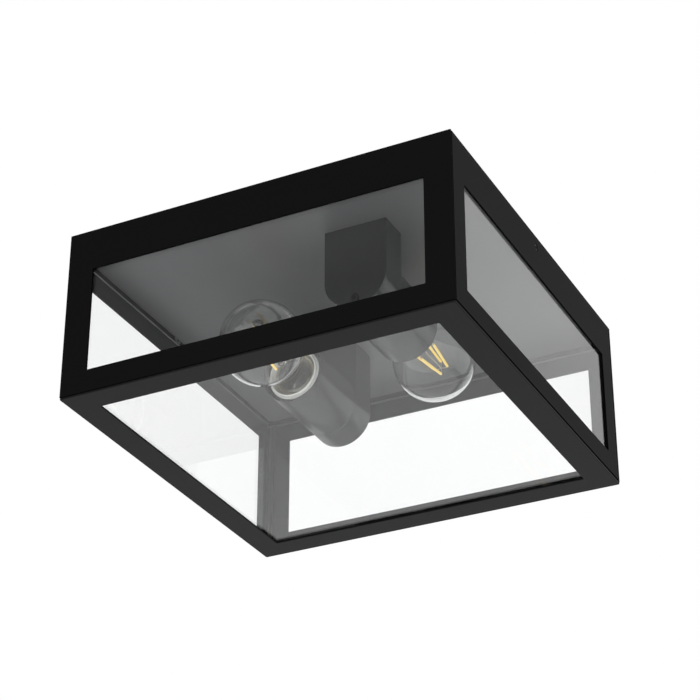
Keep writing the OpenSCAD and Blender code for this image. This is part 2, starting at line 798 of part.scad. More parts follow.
// Children at the lower end of each stick, with +Y along the stick
module at_sticks() {
    at_sides() translate([stick_r_low, stem_top, 0]) rotate([0, 0, stick_lean]) children();
}

module filament_sticks(which) {
    color("#e9b54a") at_bulb(which) at_sticks() rod(stick_d / 2, 0, stick_end);
}

// The mast and the lower wires where they leave the stem's head
module sealed_wires(extra = 0) {
    rod(mast_d / 2 + extra, wire_root - extra, wire_top);
    at_sides() translate([0, wire_root, 0]) rotate([0, 0, -atan2(low_tab.x, low_tab.y - wire_root)])
        rod(wire_d / 2 + extra, 0, norm([low_tab.x, low_tab.y - wire_root]));
}

// Wires from the stem's head to the tabs at both ends of the sticks
module filament_wires(which) {
    color("#b9b6ae") at_bulb(which) {
        sealed_wires();
        at_sticks() {
            rod(wire_d / 2, -tab_wire_l, 0);
            rod(wire_d / 2, stick_end, stick_end + tab_wire_l);
            translate([0, -tab_wire_l, 0]) sphere(wire_d / 2);
            translate([0, stick_end + tab_wire_l, 0]) sphere(wire_d / 2);
        }
        at_sides() translate([0, wire_top, 0]) rotate([0, 0, -90]) rod(wire_d / 2, 0, high_tab_r);
    }
}

ceiling_crossbar();
pan_screws();
cable_bush();
ceiling_pan();
terminal_block();
terminal_screws();
earth_stud();
live_leads();
neutral_leads();
earth_lead();
lamp_bracket(1);  // lamp_bracket_1
lamp_bracket(2);  // lamp_bracket_2
foot_screws();
holder_screws();
lamp_tube(1);  // lamp_tube_1
lamp_tube(2);  // lamp_tube_2
lampholder_body(1);  // lampholder_body_1
lampholder_body(2);  // lampholder_body_2
screw_shell(1);  // screw_shell_1
screw_shell(2);  // screw_shell_2
contact_tongue(1);  // contact_tongue_1
contact_tongue(2);  // contact_tongue_2
bulb_contact(1);  // bulb_contact_1
bulb_contact(2);  // bulb_contact_2
bulb_insulator(1);  // bulb_insulator_1
bulb_insulator(2);  // bulb_insulator_2
bulb_cap(1);  // bulb_cap_1
bulb_cap(2);  // bulb_cap_2
bulb_envelope(1);  // bulb_envelope_1
bulb_envelope(2);  // bulb_envelope_2
bulb_stem(1);  // bulb_stem_1
bulb_stem(2);  // bulb_stem_2
filament_wires(1);  // filament_wires_1
filament_wires(2);  // filament_wires_2
filament_sticks(1);  // filament_sticks_1
filament_sticks(2);  // filament_sticks_2
front_panel();
rear_panel();
left_panel();
right_panel();
bottom_frame();
front_glass();
rear_glass();
left_glass();
right_glass();
bottom_glass();
glass_tabs();
sealant_beads();
press_nuts();
left_set_screw();
right_set_screw();
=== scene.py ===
import math
from functools import partial
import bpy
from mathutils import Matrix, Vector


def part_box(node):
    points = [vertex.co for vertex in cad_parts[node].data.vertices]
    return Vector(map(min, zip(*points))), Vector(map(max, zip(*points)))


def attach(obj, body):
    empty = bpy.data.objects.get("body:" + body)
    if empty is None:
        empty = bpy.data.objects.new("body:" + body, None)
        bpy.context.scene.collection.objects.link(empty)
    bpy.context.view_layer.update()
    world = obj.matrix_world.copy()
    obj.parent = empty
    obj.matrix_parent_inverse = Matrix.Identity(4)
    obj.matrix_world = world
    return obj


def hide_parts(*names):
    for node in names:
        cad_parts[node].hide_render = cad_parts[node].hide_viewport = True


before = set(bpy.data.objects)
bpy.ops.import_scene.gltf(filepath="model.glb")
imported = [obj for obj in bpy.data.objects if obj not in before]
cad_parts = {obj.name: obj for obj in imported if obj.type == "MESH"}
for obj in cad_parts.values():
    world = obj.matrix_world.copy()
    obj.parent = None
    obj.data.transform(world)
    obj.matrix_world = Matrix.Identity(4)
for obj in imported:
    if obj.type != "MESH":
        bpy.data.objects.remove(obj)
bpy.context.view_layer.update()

from types import SimpleNamespace

import bmesh
import bpy
from bpy.props import FloatProperty, FloatVectorProperty, IntProperty, PointerProperty
from mathutils import Matrix, Vector

bl_info = {
    "name": "Flush ceiling lantern",
    "version": (1, 0, 0),
    "blender": (4, 5, 0),
    "location": "3D View > Sidebar > Lantern",
    "description": "Dresses a square glazed ceiling lantern and lights it from below",
    "category": "Object",
}

TAU = 2 * math.pi
SIDES = (-1, 1)
PAN_SHEET = 1.5  # thickness of the ceiling pan, in millimetres like every size below
FOOT_SPACING = 15.0  # from a lamp's middle to each of its foot screws
WIRE_HOLE = 4.5  # radius of the holes that the leads go through
POLE_PITCH = 9.0  # from one terminal to the next
LEAD_RADIUS = 1.1
CAP_END = 26.0  # from the bulb's contact to the end of its screw cap
TAIL_RADIUS = 12.3  # of the bulb's glass inside the cap


def span(node):
    """Lowest and highest corners of a CAD node, in millimetres."""
    low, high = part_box(node)
    return low * 1000, high * 1000


def middle(node):
    """The middle of a CAD node's box, in millimetres."""
    return tuple((low + high) / 2 for low, high in zip(*span(node)))


# ---------------------------------------------------------------- sizes and colours


def length(name, description, default, low=0.0, high=0.5):
    """A length property; defaults are given in millimetres and kept in metres."""
    return FloatProperty(
        name=name, description=description, default=default / 1000, min=low, max=high,
        subtype="DISTANCE", unit="LENGTH", precision=5,
    )


def tint(name, description, default):
    return FloatVectorProperty(
        name=name, description=description, default=default, min=0, max=1, size=3, subtype="COLOR",
    )


FRAME_LOW, FRAME_HIGH = span("bottom_frame")


class LanternCageSizes(bpy.types.PropertyGroup):
    sheet: length("Sheet", "Thickness of the cage's sheet steel", FRAME_HIGH.z - FRAME_LOW.z)
    top_rail: length("Top rail", "Depth of the windows' upper edge below the ceiling", 32.0)
    bottom_rail: length("Bottom rail", "Height of the windows' lower edge over the underside", 18.5)
    stile: length("Stile", "Width of the stiles and of the bottom window's rim", 20.0)
    cut_edge: length("Cut edge", "Rounding of the cut and coated edges", 0.2)
    groove: length("Groove", "Width of the groove that is left along a welded edge", 1.1)
    folded_edge: length("Folded edge", "Rounding of the outer edges", 0.7)
    arris: length("Arris", "Ground bevel round each pane", 0.45)
    screw_hole: length("Screw hole", "Diameter of the hole over each set screw", 5.16)


class LanternLampSizes(bpy.types.PropertyGroup):
    wall: length("Tube wall", "Thickness of the lamp tubes and brackets", 1.2)
    bracket: length("Bracket", "Length of a bracket along its lamp", 24.0)
    collar: length("Collar", "Length of the bracket's collar in the tube", 6.0)
    screw_drop: length("Screw drop", "Distance of the holder's screw below the lamp's axis", 17.0)
    thread_pitch: length("Thread pitch", "Pitch of the bulbs' screw thread", 25.4 / 7)
    thread_depth: length("Thread depth", "Depth of the rolled thread", 0.95)
    bulb_glass: length("Bulb glass", "Thickness of the bulbs' glass", 0.8)
    stick: length("Stick", "Diameter of one filament stick", 2.0)
    sticks: IntProperty(name="Sticks", description="Filament sticks in a bulb", default=4, min=1, max=8)


class LanternColours(bpy.types.PropertyGroup):
    coat: tint("Powder coat", "Matt black coat of the cage", (0.0056, 0.0056, 0.0058))
    # The pan and the housings are satin where the cage is matt; their lighter colours are painted light, for the
    # brighter light inside the cage
    pan: tint("Ceiling pan", "Satin coat of the ceiling pan", (0.098, 0.098, 0.100))
    housing: tint("Housings", "Satin coat of the lamp housings", (0.026, 0.026, 0.027))
    glass: tint("Pane", "Tint of the panes", (0.990, 0.995, 0.993))
    glass_edge: tint("Pane edge", "Tint of the panes' ground edges", (0.10, 0.12, 0.12))
    cream: tint("Lampholder", "Cream of the lampholders", (0.97, 0.965, 0.93))
    brass: tint("Brass", "Stamped brass", (1.0, 0.92, 0.70))
    zinc: tint("Zinc", "Zinc plating", (0.60, 0.61, 0.62))
    amber: tint("Filament", "Coating of the filament sticks", (1.0, 0.66, 0.12))
    live: tint("Live lead", "Insulation of the live leads", (0.17, 0.06, 0.025))
    neutral: tint("Neutral lead", "Insulation of the neutral leads", (0.05, 0.15, 0.42))


class LanternStage(bpy.types.PropertyGroup):
    lens: FloatProperty(
        name="Lens", description="Focal length of the camera", default=110.49, subtype="DISTANCE_CAMERA",
    )
    surround: FloatProperty(name="Surround", description="Brightness behind the lantern", default=1.0, min=0, max=2)
    floor_depth: length("Floor depth", "Distance of the floor below the ceiling", 1600.0, high=5)


def sizes(group):
    """A property group's lengths in millimetres, with its counts as they are."""
    given = getattr(bpy.context.scene, group)
    found = {key: getattr(given, key) for key in given.__annotations__}
    return SimpleNamespace(**{key: size * 1000 if isinstance(size, float) else size for key, size in found.items()})


def colour(shade):
    """A shade as a socket takes it. It is three figures, a colour property's name or a node's output."""
    if isinstance(shade, Reading):
        return shade
    if isinstance(shade, str):
        shade = getattr(bpy.context.scene.lantern_colours, shade)
    return (*shade, 1.0)


# ---------------------------------------------------------------- shader maths


class Reading:
    """A node's output that Python's operators work on: each adds its Math node."""

    def __init__(self, tree, socket):
        self.tree = tree
        self.socket = socket

    def __add__(self, other):
        return self.tree.math("ADD", self, other)

    def __sub__(self, other):
        return self.tree.math("SUBTRACT", self, other)

    def __rsub__(self, other):
        return self.tree.math("SUBTRACT", other, self)

    def __mul__(self, other):
        return self.tree.math("MULTIPLY", self, other)

    def __gt__(self, other):
        return self.tree.math("GREATER_THAN", self, other)

    def __lt__(self, other):
        return self.tree.math("LESS_THAN", self, other)

    __radd__ = __add__
    __rmul__ = __mul__

    def most(self, other):
        return self.tree.math("MAXIMUM", self, other)

    def between(self, low, high):
        """0 below low, 1 above high and smooth between them."""
        return self.tree.node(
            "ShaderNodeMapRange", {"interpolation_type": "SMOOTHSTEP"},
            {"Value": self, "From Min": low, "From Max": high},
        )


class Tree:
    """The shader tree of a material or world, emptied and rebuilt."""

    def __init__(self, owner, output):
        owner.use_nodes = True
        self.tree = owner.node_tree
        self.tree.nodes.clear()
        self.output = self.tree.nodes.new(output)

    def node(self, kind, settings=None, inputs=None, output=0):
        """One output of a new node, with its settings made first and its sockets filled or linked."""
        made = self.tree.nodes.new(kind)
        for key, setting in (settings or {}).items():
            setattr(made, key, setting)
        for key, given in (inputs or {}).items():
            if isinstance(given, Reading):
                self.tree.links.new(given.socket, made.inputs[key])
            else:
                made.inputs[key].default_value = given
        return Reading(self, made.outputs[output])

    def math(self, operation, *values):
        return self.node("ShaderNodeMath", {"operation": operation}, dict(enumerate(values)))

    def blend(self, factor, first, second):
        """Colour that runs from first to second as the factor rises."""
        inputs = {0: factor, 6: colour(first), 7: colour(second)}
        return self.node("ShaderNodeMix", {"data_type": "RGBA", "clamp_factor": True}, inputs, output=2)

    def place(self):
        """A point's position on the object, in metres."""
        return self.node("ShaderNodeTexCoord", output="Object")

    def along(self, axis):
        """A point's distance along an axis of the object, in metres."""
        return self.node("ShaderNodeSeparateXYZ", None, {0: self.place()}, output=axis)

    def ray(self, kind):
        """1 where a ray of that kind looks, and 0 elsewhere."""
        return self.node("ShaderNodeLightPath", output=f"Is {kind} Ray")

    def grain(self, scale, detail=2.0, roughness=0.5, distortion=0.0):
        """Noise of so many grains to a metre."""
        inputs = {"Scale": scale, "Detail": detail, "Roughness": roughness, "Distortion": distortion}
        return self.node("ShaderNodeTexNoise", None, {"Vector": self.place(), **inputs}, output="Fac")

    def relief(self, height, depth, distance=0.0002):
        """A surface normal with the height pressed into it."""
        inputs = {"Strength": depth, "Distance": distance, "Height": height}
        return self.node("ShaderNodeBump", None, inputs, output="Normal")

    def skin(self, **sockets):
        """A Principled surface; its sockets are named with underscores for spaces."""
        inputs = {key.replace("_", " "): given for key, given in sockets.items()}
        return self.node("ShaderNodeBsdfPrincipled", None, inputs, output="BSDF")

    def surface(self, shader):
        self.tree.links.new(shader.socket, self.output.inputs["Surface"])


# ---------------------------------------------------------------- finishes


def powder_coat(tree, base, sheen, roughness, relief=0.0):
    """A fine pebbled skin, a little cloudy, with a few pale specks."""
    pebbles = tree.grain(3400.0, 2.0, 0.6)
    cloud = tree.grain(9.0, 3.0)
    specks = tree.grain(5200.0, 0.0) > 0.73
    lighter = [1.2 * part for part in colour(base)[:3]]
    pressed = {"Normal": tree.relief(pebbles, relief)} if relief else {}
    tree.surface(tree.skin(
        Base_Color=tree.blend(specks * 0.06, tree.blend(cloud, base, lighter), (0.07, 0.07, 0.072)),
        Roughness=roughness + 0.04 * pebbles + 0.06 * cloud, Specular_IOR_Level=sheen, **pressed,
    ))


def mottled(tree, drift, shades, rough, relief=(), fine=None, **others):
    """A surface whose colour and roughness drift together, with relief from the same noise or from a finer one.

    rough is its least roughness and what the drift adds; relief is its strength and, if not the usual, its depth.
    """
    drift = drift if isinstance(drift, Reading) else tree.grain(*drift)
    if relief:
        others["Normal"] = tree.relief(tree.grain(*fine) if fine else drift, *relief)
    tree.surface(tree.skin(Base_Color=tree.blend(drift, *shades), Roughness=rough[0] + rough[1] * drift, **others))


def clear(tree, shade, passes, waves, relief, rough=0.0, scratches=0.0, ior=1.5, mirrored=False):
    """Glass or clear silicone with faint waves.

    It passes shadow, diffuse and, if asked for, mirrored rays straight on, so that what it covers is lit without
    noise. Refracted rays count as glossy too, so they are taken off the mirrored ones.
    """
    waves = tree.grain(*waves)
    body = tree.skin(
        Base_Color=colour(shade), Roughness=rough + scratches * waves if scratches else rough, IOR=ior,
        Transmission_Weight=1.0, Normal=tree.relief(waves, *relief),
    )
    passed = tree.ray("Shadow").most(tree.ray("Diffuse"))
    if mirrored:
        passed = passed.most(tree.ray("Glossy") - tree.ray("Transmission"))
    through = tree.node("ShaderNodeBsdfTransparent", None, {"Color": colour(passes)})
    tree.surface(tree.node("ShaderNodeMixShader", None, {0: passed, 1: body, 2: through}))


def rolled_metal(tree):
    """Fine lines round a lamp's axis, which lies along Y."""
    lines = tree.node(
        "ShaderNodeTexNoise", {"noise_dimensions": "1D"}, {"W": tree.along("Y"), "Scale": 5200.0, "Detail": 3.0},
    )
    mottled(tree, lines, ((0.80, 0.78, 0.73), (0.62, 0.60, 0.56)), (0.16, 0.14), (0.06,), Metallic=1.0)


def cream_thermoset(tree):
    """Moulded resin: its colour drifts slowly, and its gloss and skin are finely uneven."""
    mottle = tree.grain(80.0, 3.0)
    fine = tree.grain(2200.0, 2.0)
    tree.surface(tree.skin(
        Base_Color=tree.blend(mottle, "cream", (0.93, 0.92, 0.87)),
        Roughness=0.34 + 0.12 * fine, Normal=tree.relief(fine, 0.06),
    ))


def amber_phosphor(tree):
    """Gritty coating with a painted glow: a faint light of its own that brightens the sticks, though the bulb is off.
    """
    grit = tree.grain(3600.0, 2.0, 0.7)
    streaks = tree.grain(120.0, 1.0)
    base = tree.blend(grit, "amber", (1.0, 0.80, 0.30))
    tree.surface(tree.skin(
        Base_Color=tree.blend(streaks * 0.4, base, (0.95, 0.55, 0.06)),
        Roughness=0.42 + 0.2 * grit, Normal=tree.relief(grit, 0.4),
        # Painted glow: emission that lights up the sticks though the bulb is off
        Emission_Color=base, Emission_Strength=0.35,
    ))


def zinc_plate(tree):
    """Plating with small spangles under a cloudy bloom."""
    cells = {"Vector": tree.place(), "Scale": 420.0}
    spangle = tree.node("ShaderNodeTexVoronoi", {"feature": "F1"}, cells, output="Color")
    cloud = tree.grain(60.0, 4.0)
    tree.surface(tree.skin(
        Metallic=0.95, Base_Color=tree.blend(cloud, "zinc", (0.46, 0.47, 0.49)),
        Roughness=0.28 + 0.2 * cloud + 0.05 * spangle, Normal=tree.relief(tree.grain(1700.0, 3.0), 0.1),
    ))


def insulation(tree, base, other):
    """Extruded insulation, a little uneven in colour and gloss."""
    mottled(tree, (220.0, 2.0), (base, other), (0.36, 0.14), (0.08,), fine=(1400.0,))


def earth_insulation(tree):
    """Green with a yellow stripe over its upper half."""
    green, yellow = (0.05, 0.24, 0.05), (0.75, 0.62, 0.05)
    half_way = span("earth_lead")[0].z / 1000 + 0.0013
    insulation(tree, green, tree.blend(tree.along("Z") > half_way, green, yellow))


FINISHES = {
    "panel_coat": partial(powder_coat, base="coat", sheen=0.03, roughness=0.46, relief=0.05),
    "rim_coat": partial(powder_coat, base="coat", sheen=0.14, roughness=0.40, relief=0.04),
    # The pan's and housings' coats are the black coat set lighter: painted light for the brighter light inside the
    # cage
    "pan_coat": partial(powder_coat, base="pan", sheen=0.60, roughness=0.32),
    "housing_coat": partial(powder_coat, base="housing", sheen=0.80, roughness=0.20),
    # A thin, dull coat on the cut edges, set darker than the coat as painted shade on those edges and down in the
    # grooves
    "bare_edge_coat": partial(
        mottled, drift=(900.0, 3.0), shades=((0.0012, 0.0012, 0.0012), (0.003, 0.003, 0.003)),
        rough=(0.7, 0.2), Specular_IOR_Level=0.05,
    ),
    "pane": partial(
        clear, shade="glass", passes=(0.94, 0.95, 0.95), waves=(14.0, 1.0), relief=(0.0015, 0.002), mirrored=True,
    ),
    "ground_edge": partial(
        clear, shade="glass_edge", passes=(0.3, 0.33, 0.33), waves=(900.0, 3.0), relief=(0.15,),
        rough=0.28, scratches=0.2,
    ),
    "blown_glass": partial(
        clear, shade=(0.985, 0.99, 0.985), passes=(0.98, 0.985, 0.98), waves=(60.0, 1.0), relief=(0.03, 0.001),
    ),
    "stem_glass": partial(
        clear, shade=(0.95, 0.96, 0.95), passes=(0.9, 0.9, 0.9), waves=(260.0, 2.0), relief=(0.12, 0.001), rough=0.02,
    ),
    "clear_silicone": partial(
        clear, shade=(0.55, 0.56, 0.56), passes=(0.5, 0.51, 0.51), waves=(500.0,), relief=(0.2, 0.0004),
        rough=0.45, ior=1.33,
    ),
    "rolled_metal": rolled_metal,
    "stamped_brass": partial(
        mottled, drift=(140.0, 4.0, 0.6), shades=("brass", (0.90, 0.79, 0.54)), rough=(0.30, 0.25),
        relief=(0.08,), fine=(1500.0,), Metallic=1.0,
    ),
    "solder": partial(
        mottled, drift=(420.0, 2.0), shades=((0.55, 0.56, 0.57), (0.72, 0.72, 0.71)), rough=(0.22, 0.3),
        relief=(0.5, 0.0006), Metallic=1.0,
    ),
    "support_wire": partial(
        mottled, drift=(1800.0,), shades=((0.78, 0.76, 0.72), (0.60, 0.58, 0.55)), rough=(0.25, 0.15), Metallic=1.0,
    ),
    "zinc_plate": zinc_plate,
    "black_oxide": partial(
        mottled, drift=(700.0, 3.0), shades=((0.006, 0.006, 0.006), (0.018, 0.017, 0.016)), rough=(0.45, 0.15),
        relief=(0.1,), Metallic=0.6,
    ),
    "black_insulator": partial(
        mottled, drift=(300.0, 3.0, 0.5, 1.0), shades=((0.006, 0.006, 0.008), (0.02, 0.02, 0.024)), rough=(0.08, 0.1),
        relief=(0.1, 0.0004), Coat_Weight=0.3,
    ),
    "cream_thermoset": cream_thermoset,
    "amber_phosphor": amber_phosphor,
    "moulded_rubber": partial(
        mottled, drift=(300.0, 3.0), shades=((0.012, 0.012, 0.012), (0.03, 0.03, 0.031)), rough=(0.6, 0.2),
        relief=(0.15, 0.0004),
    ),
    "terminal_moulding": partial(
        mottled, drift=(150.0, 3.0, 0.5, 0.6), shades=((0.80, 0.79, 0.74), (0.70, 0.69, 0.64)), rough=(0.45, 0.15),
        relief=(0.12,), fine=(1900.0,),
    ),
    "live_insulation": partial(insulation, base="live", other=(0.12, 0.045, 0.02)),
    "neutral_insulation": partial(insulation, base="neutral", other=(0.035, 0.10, 0.32)),
    "earth_insulation": earth_insulation,
    "studio_floor": partial(
        mottled, drift=(1.5, 2.0), shades=((0.70, 0.70, 0.70), (0.66, 0.66, 0.66)), rough=(0.75, 0.1),
        Specular_IOR_Level=0.2,
    ),
}


def finished(name):
    """The material with the finish of that name, made when it is first asked for."""
    made = bpy.data.materials.get(name)
    if made is None:
        made = bpy.data.materials.new(name)
        FINISHES[name](Tree(made, "ShaderNodeOutputMaterial"))
    return made


# ---------------------------------------------------------------- shapes, in millimetres


def rounded(points, closed=True, steps=5):
    """The path through points whose last figure is each corner's radius, with true arcs at them."""
    corners = [Vector(point[:-1]) for point in points]
    radii = [point[-1] for point in points]
    path = []
    for i, corner in enumerate(corners):
        if radii[i] <= 0 or (not closed and i in (0, len(corners) - 1)):
            path.append(corner)
            continue
        back = corners[i - 1] - corner
        ahead = corners[(i + 1) % len(corners)] - corner
        room = 0.499 * min(back.length, ahead.length)
        back.normalize()
        ahead.normalize()
        half = back.angle(ahead) / 2
        reach = min(radii[i] / math.tan(half), room)
        start, end, weight = corner + back * reach, corner + ahead * reach, math.sin(half)
        for k in range(steps + 1):
            t = k / steps
            a, b, c = (1 - t) ** 2, 2 * weight * t * (1 - t), t * t
            path.append((start * a + corner * b + end * c) / (a + b + c))
    return path


def box_outline(low_x, low_y, high_x, high_y, corner):
    """A rectangle with rounded corners."""
    corners = ((low_x, low_y), (high_x, low_y), (high_x, high_y), (low_x, high_y))
    return rounded([(x, y, corner) for x, y in corners])


def full_turn(steps):
    return [TAU * k / steps for k in range(steps)]


def disc(x, y, radius, steps=32):
    return [Vector((x + radius * math.cos(a), y + radius * math.sin(a))) for a in full_turn(steps)]


def arc(centre, radius, start, end, steps):
    """Points on an arc between two angles in degrees."""
    turns = [math.radians(start + (end - start) * k / steps) for k in range(steps + 1)]
    return [Vector((centre[0] + radius * math.cos(a), centre[1] + radius * math.sin(a))) for a in turns]


def evenly(start, reach, rows):
    """Distances from start over a reach, in equal steps."""
    return [start + reach * k / rows for k in range(rows + 1)]


def signed_area(loop):
    return sum(a.x * b.y - b.x * a.y for a, b in zip(loop, loop[1:] + loop[:1])) / 2


def inset(loop, distance):
    """The loop moved sideways to its left by a distance."""
    sharpest = 0.2  # holds back the corners, which would run away where the loop turns back on itself
    moved = []
    for i, point in enumerate(loop):
        before = (point - loop[i - 1]).normalized()
        after = (loop[(i + 1) % len(loop)] - point).normalized()
        first, second = Vector((-before.y, before.x)), Vector((-after.y, after.x))
        moved.append(point + (first + second) * (distance / max(1 + first.dot(second), sharpest)))
    return moved


def facing(origin, across, up, out):
    """A placing whose own X, Y and Z run along the three given directions."""
    return Matrix.Translation(Vector(origin)) @ Matrix((across, up, out)).transposed().to_4x4()


X_AXIS, Y_AXIS, Z_AXIS = Vector((1, 0, 0)), Vector((0, 1, 0)), Vector((0, 0, 1))
LYING = facing((0, 0, 0), X_AXIS, Y_AXIS, Z_AXIS)


def turned(degrees):
    return Matrix.Rotation(math.radians(degrees), 4, "Z")


def thread(pitch, depth, start=-math.inf, end=math.inf, fade=1.0, phase=0.0, core=0.0):
    """A thread's wave on the radius: it fades in and out over two ends, and leaves the core as it is."""

    def wave(radius, height, turn):
        if radius < core:
            return 0.0
        share = max(0.0, min(1.0, (height - start) / fade, (end - height) / fade))
        return -depth * share * (0.5 - 0.5 * math.cos(TAU * ((height - phase) / pitch - turn)))

    return wave


class Piece:
    """A closed mesh under construction, in millimetres, out of revolved, swept and cut-out solids."""

    def __init__(self):
        self.mesh = bmesh.new()

    def ring(self, points, place=LYING):
        return [self.mesh.verts.new(place @ point) for point in points]

    def bridge(self, first, second, slot):
        """Quads between two rings of points; a ring of one point makes a fan."""
        count = max(len(first), len(second))
        for k in range(count):
            j = (k + 1) % count
            around = first[k % len(first)], first[j % len(first)], second[j % len(second)], second[k % len(second)]
            face = self.mesh.faces.new(list(dict.fromkeys(around)))
            face.material_index, face.smooth = slot, True

    def plate(
        self, outline, low, high, place=LYING, holes=(), edges=(0.0, 0.0), hole_edges=None,
        slot=0, side=None, back=None,
    ):
        """A sheet between two heights, cut to an outline with holes, its lower and upper edges rounded.

        Its top, its edges and its back can each have their own finish.
        """
        side = slot if side is None else side
        lids = ([], [])
        for number, loop in enumerate([outline, *holes]):
            if (signed_area(loop) > 0) != (number == 0):
                loop = loop[::-1]
            under, over = hole_edges if number and hole_edges else edges
            rings = []
            for radius, level, rise in ((under, low, 1), (over, high, -1)):
                steps = 4 if radius > 0.5 else 2 if radius > 0 else 0
                part = []
                for a in evenly(0, math.pi / 2, steps) if steps else [math.pi / 2]:
                    lift = Vector((0, 0, level + rise * radius * (1 - math.cos(a))))
                    part.append(self.ring([p.to_3d() + lift for p in inset(loop, radius * (1 - math.sin(a)))], place))
                rings += part[::rise]
            for first, second in zip(rings, rings[1:]):
                self.bridge(first, second, side)
            for lid, ring in zip(lids, (rings[0], rings[-1])):
                lid += [self.mesh.edges.get((ring[k - 1], ring[k])) for k in range(len(ring))]
        for lid, shown in zip(lids, (slot if back is None else back, slot)):
            made = bmesh.ops.triangle_fill(self.mesh, use_beauty=True, use_dissolve=False, edges=lid)
            for face in made["geom"]:
                if isinstance(face, bmesh.types.BMFace):
                    face.material_index, face.smooth = shown, False

    def lathe(self, profile, place=LYING, steps=64, closed=True, wave=None):
        """A profile of radii and heights turned about the place's Z; the wave is added to the radius."""
        rings = []
        for radius, height in profile:
            if radius < 1e-6:
                rings.append(self.ring([Vector((0, 0, height))], place))
                continue
            reach = [radius + (wave(radius, height, k / steps) if wave else 0.0) for k in range(steps)]
            points = [Vector((r * math.cos(a), r * math.sin(a), height)) for r, a in zip(reach, full_turn(steps))]
            rings.append(self.ring(points, place))
        pairs = list(zip(rings, rings[1:]))
        if closed:
            pairs.append((rings[-1], rings[0]))
        for first, second in pairs:
            if len(first) > 1 or len(second) > 1:
                self.bridge(first, second, 0)

    def rod(self, path, radius, steps=12, slot=0, ends=0.0):
        """A round bar along a path, its ends rounded by a share of the radius."""
        path = [Vector(point) for point in path]
        ways = [(b - a).normalized() for a, b in zip(path, path[1:])]
        across = ways[0].orthogonal().normalized()
        rings = []
        for k, point in enumerate(path):
            way = (ways[max(k - 1, 0)] + ways[min(k, len(ways) - 1)]).normalized()
            across = (across - way * across.dot(way)).normalized()
            other = way.cross(across)
            shares = [(1.0, 0.0)]
            if ends and k in (0, len(path) - 1):
                outward = -1 if k == 0 else 1
                turns = (0, math.pi / 6, math.pi / 3, math.pi / 2)
                shares = [(1 - ends + ends * math.cos(a), outward * ends * math.sin(a)) for a in turns][::outward]
            for size, shift in shares:
                centre, reach = point + way * (shift * radius), radius * size
                around = [across * math.cos(a) + other * math.sin(a) for a in full_turn(steps)]
                rings.append(self.ring([centre + outward_way * reach for outward_way in around]))
        for first, second in zip(rings, rings[1:]):
            self.bridge(first, second, slot)
        for ring in (rings[0][::-1], rings[-1]):
            self.mesh.faces.new(ring).material_index = slot

    def add(self, other, place):
        """A placed copy of another piece's mesh."""
        lifted = {vert: self.mesh.verts.new(place @ vert.co) for vert in other.mesh.verts}
        for face in other.mesh.faces:
            copy = self.mesh.faces.new([lifted[vert] for vert in face.verts])
            copy.material_index, copy.smooth = face.material_index, face.smooth

    def done(self, node, way_made, slot, *finishes, body="ceiling_base", crease=35):
        """Turns the mesh into an object that rides on its body in place of its CAD node."""
        bmesh.ops.recalc_face_normals(self.mesh, faces=self.mesh.faces)
        name = f"{node}_{way_made}"
        mesh = bpy.data.meshes.new(name)
        self.mesh.to_mesh(mesh)
        self.mesh.free()
        mesh.transform(Matrix.Scale(0.001, 4))
        for finish in finishes:
            mesh.materials.append(finished(finish))
        # Marking the sharp edges turns every face smooth, so the flat ones are set flat again
        curved = [face.use_smooth for face in mesh.polygons]
        mesh.set_sharp_from_angle(angle=math.radians(crease))
        mesh.polygons.foreach_set("use_smooth", curved)
        made = bpy.data.objects.new(name, mesh)
        bpy.context.scene.collection.objects.link(made)
        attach(made, body)
        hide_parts(node)


def screw(under, head, height):
    """A 4 mm screw along -Z with its head's seat at zero: a domed head with a cross recess, and a thread.

    It is given by its length under the head, and by the head's radius and height; a headless one has none.
    """
    radius, pitch = 2.0, 0.7
    made = Piece()
    if head:
        floor = height * 0.42
        arm, width = head * 0.55, head * 0.15
        star, quarter = [], [(width, width), (width, arm), (-width, arm)]
        for _ in range(4):
            star += [(x, y, width * 0.35) for x, y in quarter]
            quarter = [(-y, x) for x, y in quarter]
        made.plate(disc(0, 0, head, 40), 0, floor, edges=(0.08, 0.0))
        made.plate(
            disc(0, 0, head, 40), floor, height, holes=[rounded(star, steps=2)],
            edges=(0.0, height * 0.5), hole_edges=(0.0, 0.06),
        )
    rows = max(8, int(under / pitch * 6))
    profile = [(0.0, 0.0), (radius * 0.96, 0.0)]
    profile += [(radius, -0.4 - (under - 0.8) * k / rows) for k in range(rows + 1)]
    profile += [(radius * 0.75, -under), (0.0, -under)]
    cut = thread(pitch, pitch * 0.55, 0.2 - under, -0.3, fade=pitch, core=radius * 0.98)
    made.lathe(profile, steps=24, wave=cut)
    return made


class Lamp:
    """A lamp's placing and sizes from the CAD boxes, in millimetres from its closed end or its axis."""

    def __init__(self, which):
        self.which = which
        low, high = span(f"lamp_bracket_{which}")
        tube_low, tube_high = span(f"lamp_tube_{which}")
        contact_low, contact_high = span(f"bulb_contact_{which}")
        x, _, z = middle(f"lamp_tube_{which}")
        # Its X runs across, its Y from the closed end to the mouth and its Z up; the first lamp points to the front
        if which == 1:
            self.place = Matrix.Translation((x, high.y, z)) @ turned(180)
            self.bulb = high.y - contact_high.y
        else:
            self.place = Matrix.Translation((x, low.y, z))
            self.bulb = contact_low.y - low.y
        self.radius = (tube_high.x - tube_low.x) / 2
        self.top = (self.place.inverted() @ high).z

    def reach(self, node):
        """Where a node of the lamp starts and ends along it."""
        onto = self.place.inverted()
        return sorted((onto @ Vector((0, corner.y, 0))).y for corner in span(f"{node}_{self.which}"))

    def along(self, start=0.0):
        """A placing whose Z is the lamp's axis, from a distance beyond its closed end."""
        return self.place @ facing((0, start, 0), -X_AXIS, Z_AXIS, Y_AXIS)


def both_lamps():
    return [Lamp(which) for which in (1, 2)]


# ---------------------------------------------------------------- cage


